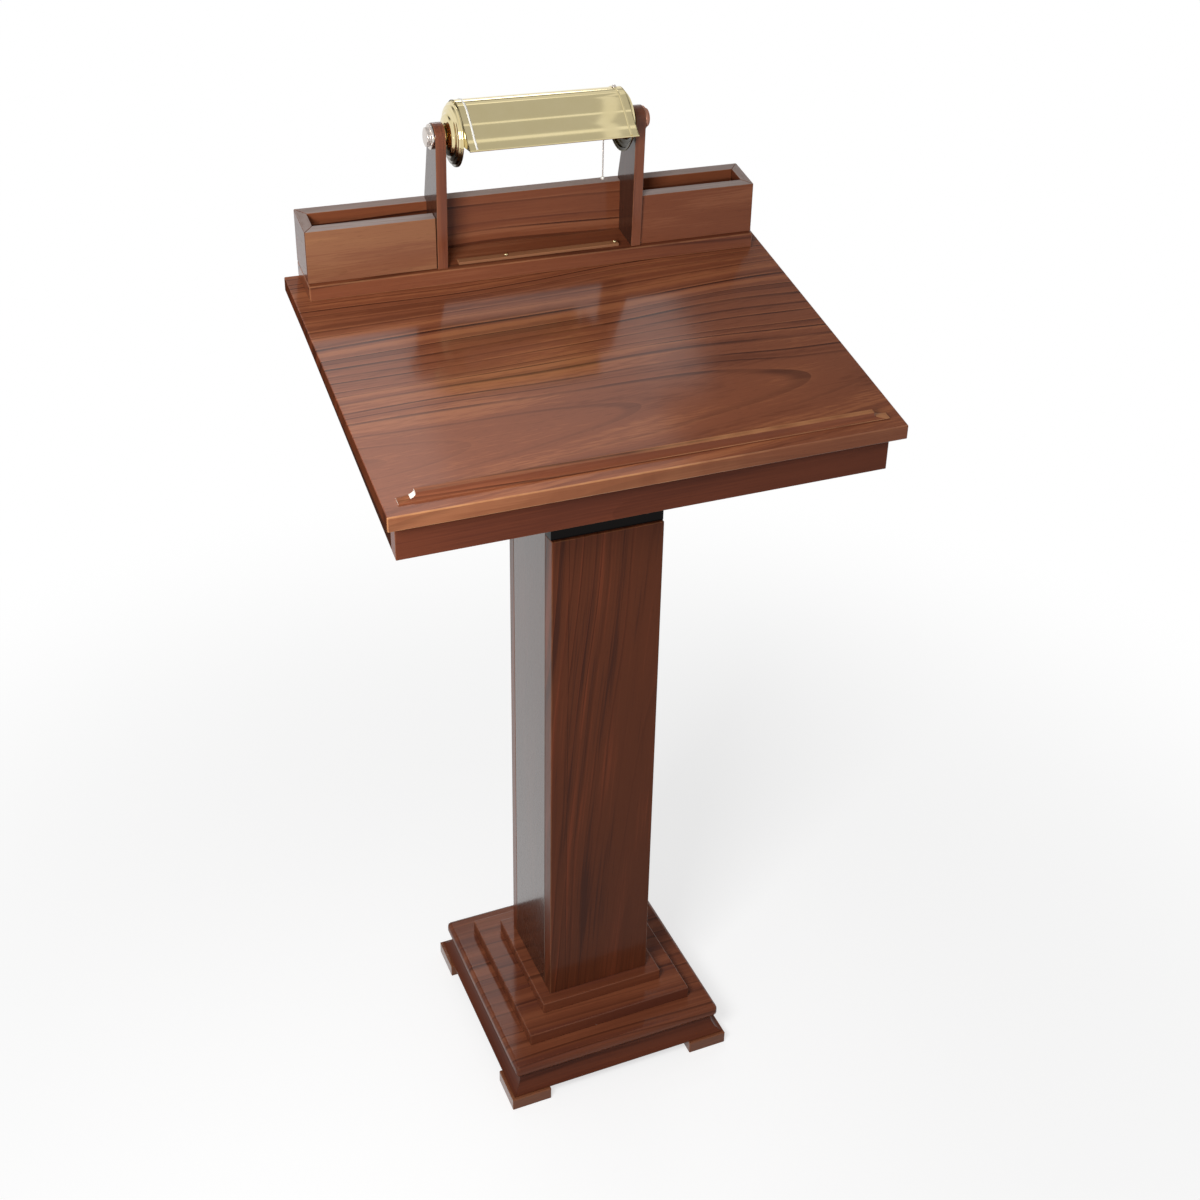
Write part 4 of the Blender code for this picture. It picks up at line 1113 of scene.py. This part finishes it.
def makeFloor(s):
    bm = bmesh.new()
    bmesh.ops.create_circle(bm, cap_ends=True, segments=96, radius=s["floorReach"])
    floor = newObject("floor", toMesh("floor", bm))
    material = bpy.data.materials.new("paleFloor")
    material.use_nodes = True
    tree = material.node_tree
    tree.nodes.clear()
    coord = addNode(tree, "ShaderNodeTexCoord").outputs["Object"]
    distance = addNode(tree, "ShaderNodeVectorMath", {0: coord}, operation="LENGTH").outputs["Value"]
    fade = {"Value": distance, "From Min": s["fadeStart"], "From Max": s["fadeEnd"]}
    far = addNode(tree, "ShaderNodeMapRange", fade, **smooth)
    shadowed = addNode(tree, "ShaderNodeBsdfDiffuse", {"Color": [s["floorGrey"]] * 3 + [1]})
    lift = addNode(tree, "ShaderNodeEmission", {"Color": white, "Strength": s["floorLift"]})
    near = addNode(tree, "ShaderNodeAddShader", {0: shadowed, 1: lift})
    plain = addNode(tree, "ShaderNodeEmission", {"Color": white, "Strength": 1.0})
    shown = addNode(tree, "ShaderNodeMixShader", {0: far, 1: near, 2: plain})
    bounce = addNode(tree, "ShaderNodeBsdfDiffuse", {"Color": [s["bounceGrey"]] * 3 + [1]})
    surface = addNode(tree, "ShaderNodeMixShader", {0: seenPlainly(tree), 1: bounce, 2: shown})
    addNode(tree, "ShaderNodeOutputMaterial", {"Surface": surface})
    floor.data.materials.append(material)


def makeWorld(s):
    world = bpy.data.worlds.new("studio")
    bpy.context.scene.world = world
    world.use_nodes = True
    tree = world.node_tree
    tree.nodes.clear()
    coord = addNode(tree, "ShaderNodeTexCoord").outputs["Generated"]
    axes = addNode(tree, "ShaderNodeSeparateXYZ", {"Vector": coord}).outputs
    turn = {"Value": axes["X"], "From Min": -0.5, "From Max": -0.2, "To Min": s["leftWall"],
            "To Max": s["ceiling"]}
    bright = addNode(tree, "ShaderNodeMapRange", turn, **smooth)
    # the dark part of the ceiling lies behind the lectern, between two heights
    dim = 1.0
    for axis, start, full in (("Y", 0.2, 0.4), ("Z", 0.61, 0.68), ("Z", 0.87, 0.83)):
        limits = {"Value": axes[axis], "From Min": start, "From Max": full}
        share = addNode(tree, "ShaderNodeMapRange", limits)
        dim = addNode(tree, "ShaderNodeMath", {0: share, 1: dim}, operation="MULTIPLY")
    both = {"Value": dim, "To Min": bright, "To Max": s["darkCeiling"]}
    ceiling = addNode(tree, "ShaderNodeMapRange", both)
    rise = {"Value": axes["Z"], "From Min": 0.30, "From Max": 0.80, "To Min": 1.0, "To Max": ceiling}
    mirrored = addNode(tree, "ShaderNodeMapRange", rise, **smooth)
    ambient = addNode(tree, "ShaderNodeBackground", {"Color": white, "Strength": s["ambient"]})
    walls = addNode(tree, "ShaderNodeBackground", {"Color": white, "Strength": mirrored})
    plain = addNode(tree, "ShaderNodeBackground", {"Color": white, "Strength": 1.0})
    lit = addNode(tree, "ShaderNodeMixShader", {0: seenPlainly(tree), 1: ambient, 2: walls})
    direct = addNode(tree, "ShaderNodeLightPath").outputs["Is Camera Ray"]
    shown = addNode(tree, "ShaderNodeMixShader", {0: direct, 1: lit, 2: plain})
    addNode(tree, "ShaderNodeOutputWorld", {"Surface": shown})


def makeSoftbox(name, place, size, watts, target=None, turn=0):
    data = bpy.data.lights.new(name, "AREA")
    data.shape = "RECTANGLE"
    data.size, data.size_y = size
    data.energy = watts
    light = newObject(name, data)
    aim = Vector(target) - Vector(place) if target else Vector((0, 0, -1))
    aimed = aim.to_track_quat("-Z", "Y").to_matrix() @ Matrix.Rotation(math.radians(turn), 3, "Z")
    light.matrix_world = Matrix.Translation(place) @ aimed.to_4x4()
    light.visible_camera = False


makeFloor(studio)
makeWorld(studio)
for name, settings in studio["softboxes"].items():
    makeSoftbox(name, **settings)
bpy.context.scene.view_settings.view_transform = "Standard"
print("studio lit")
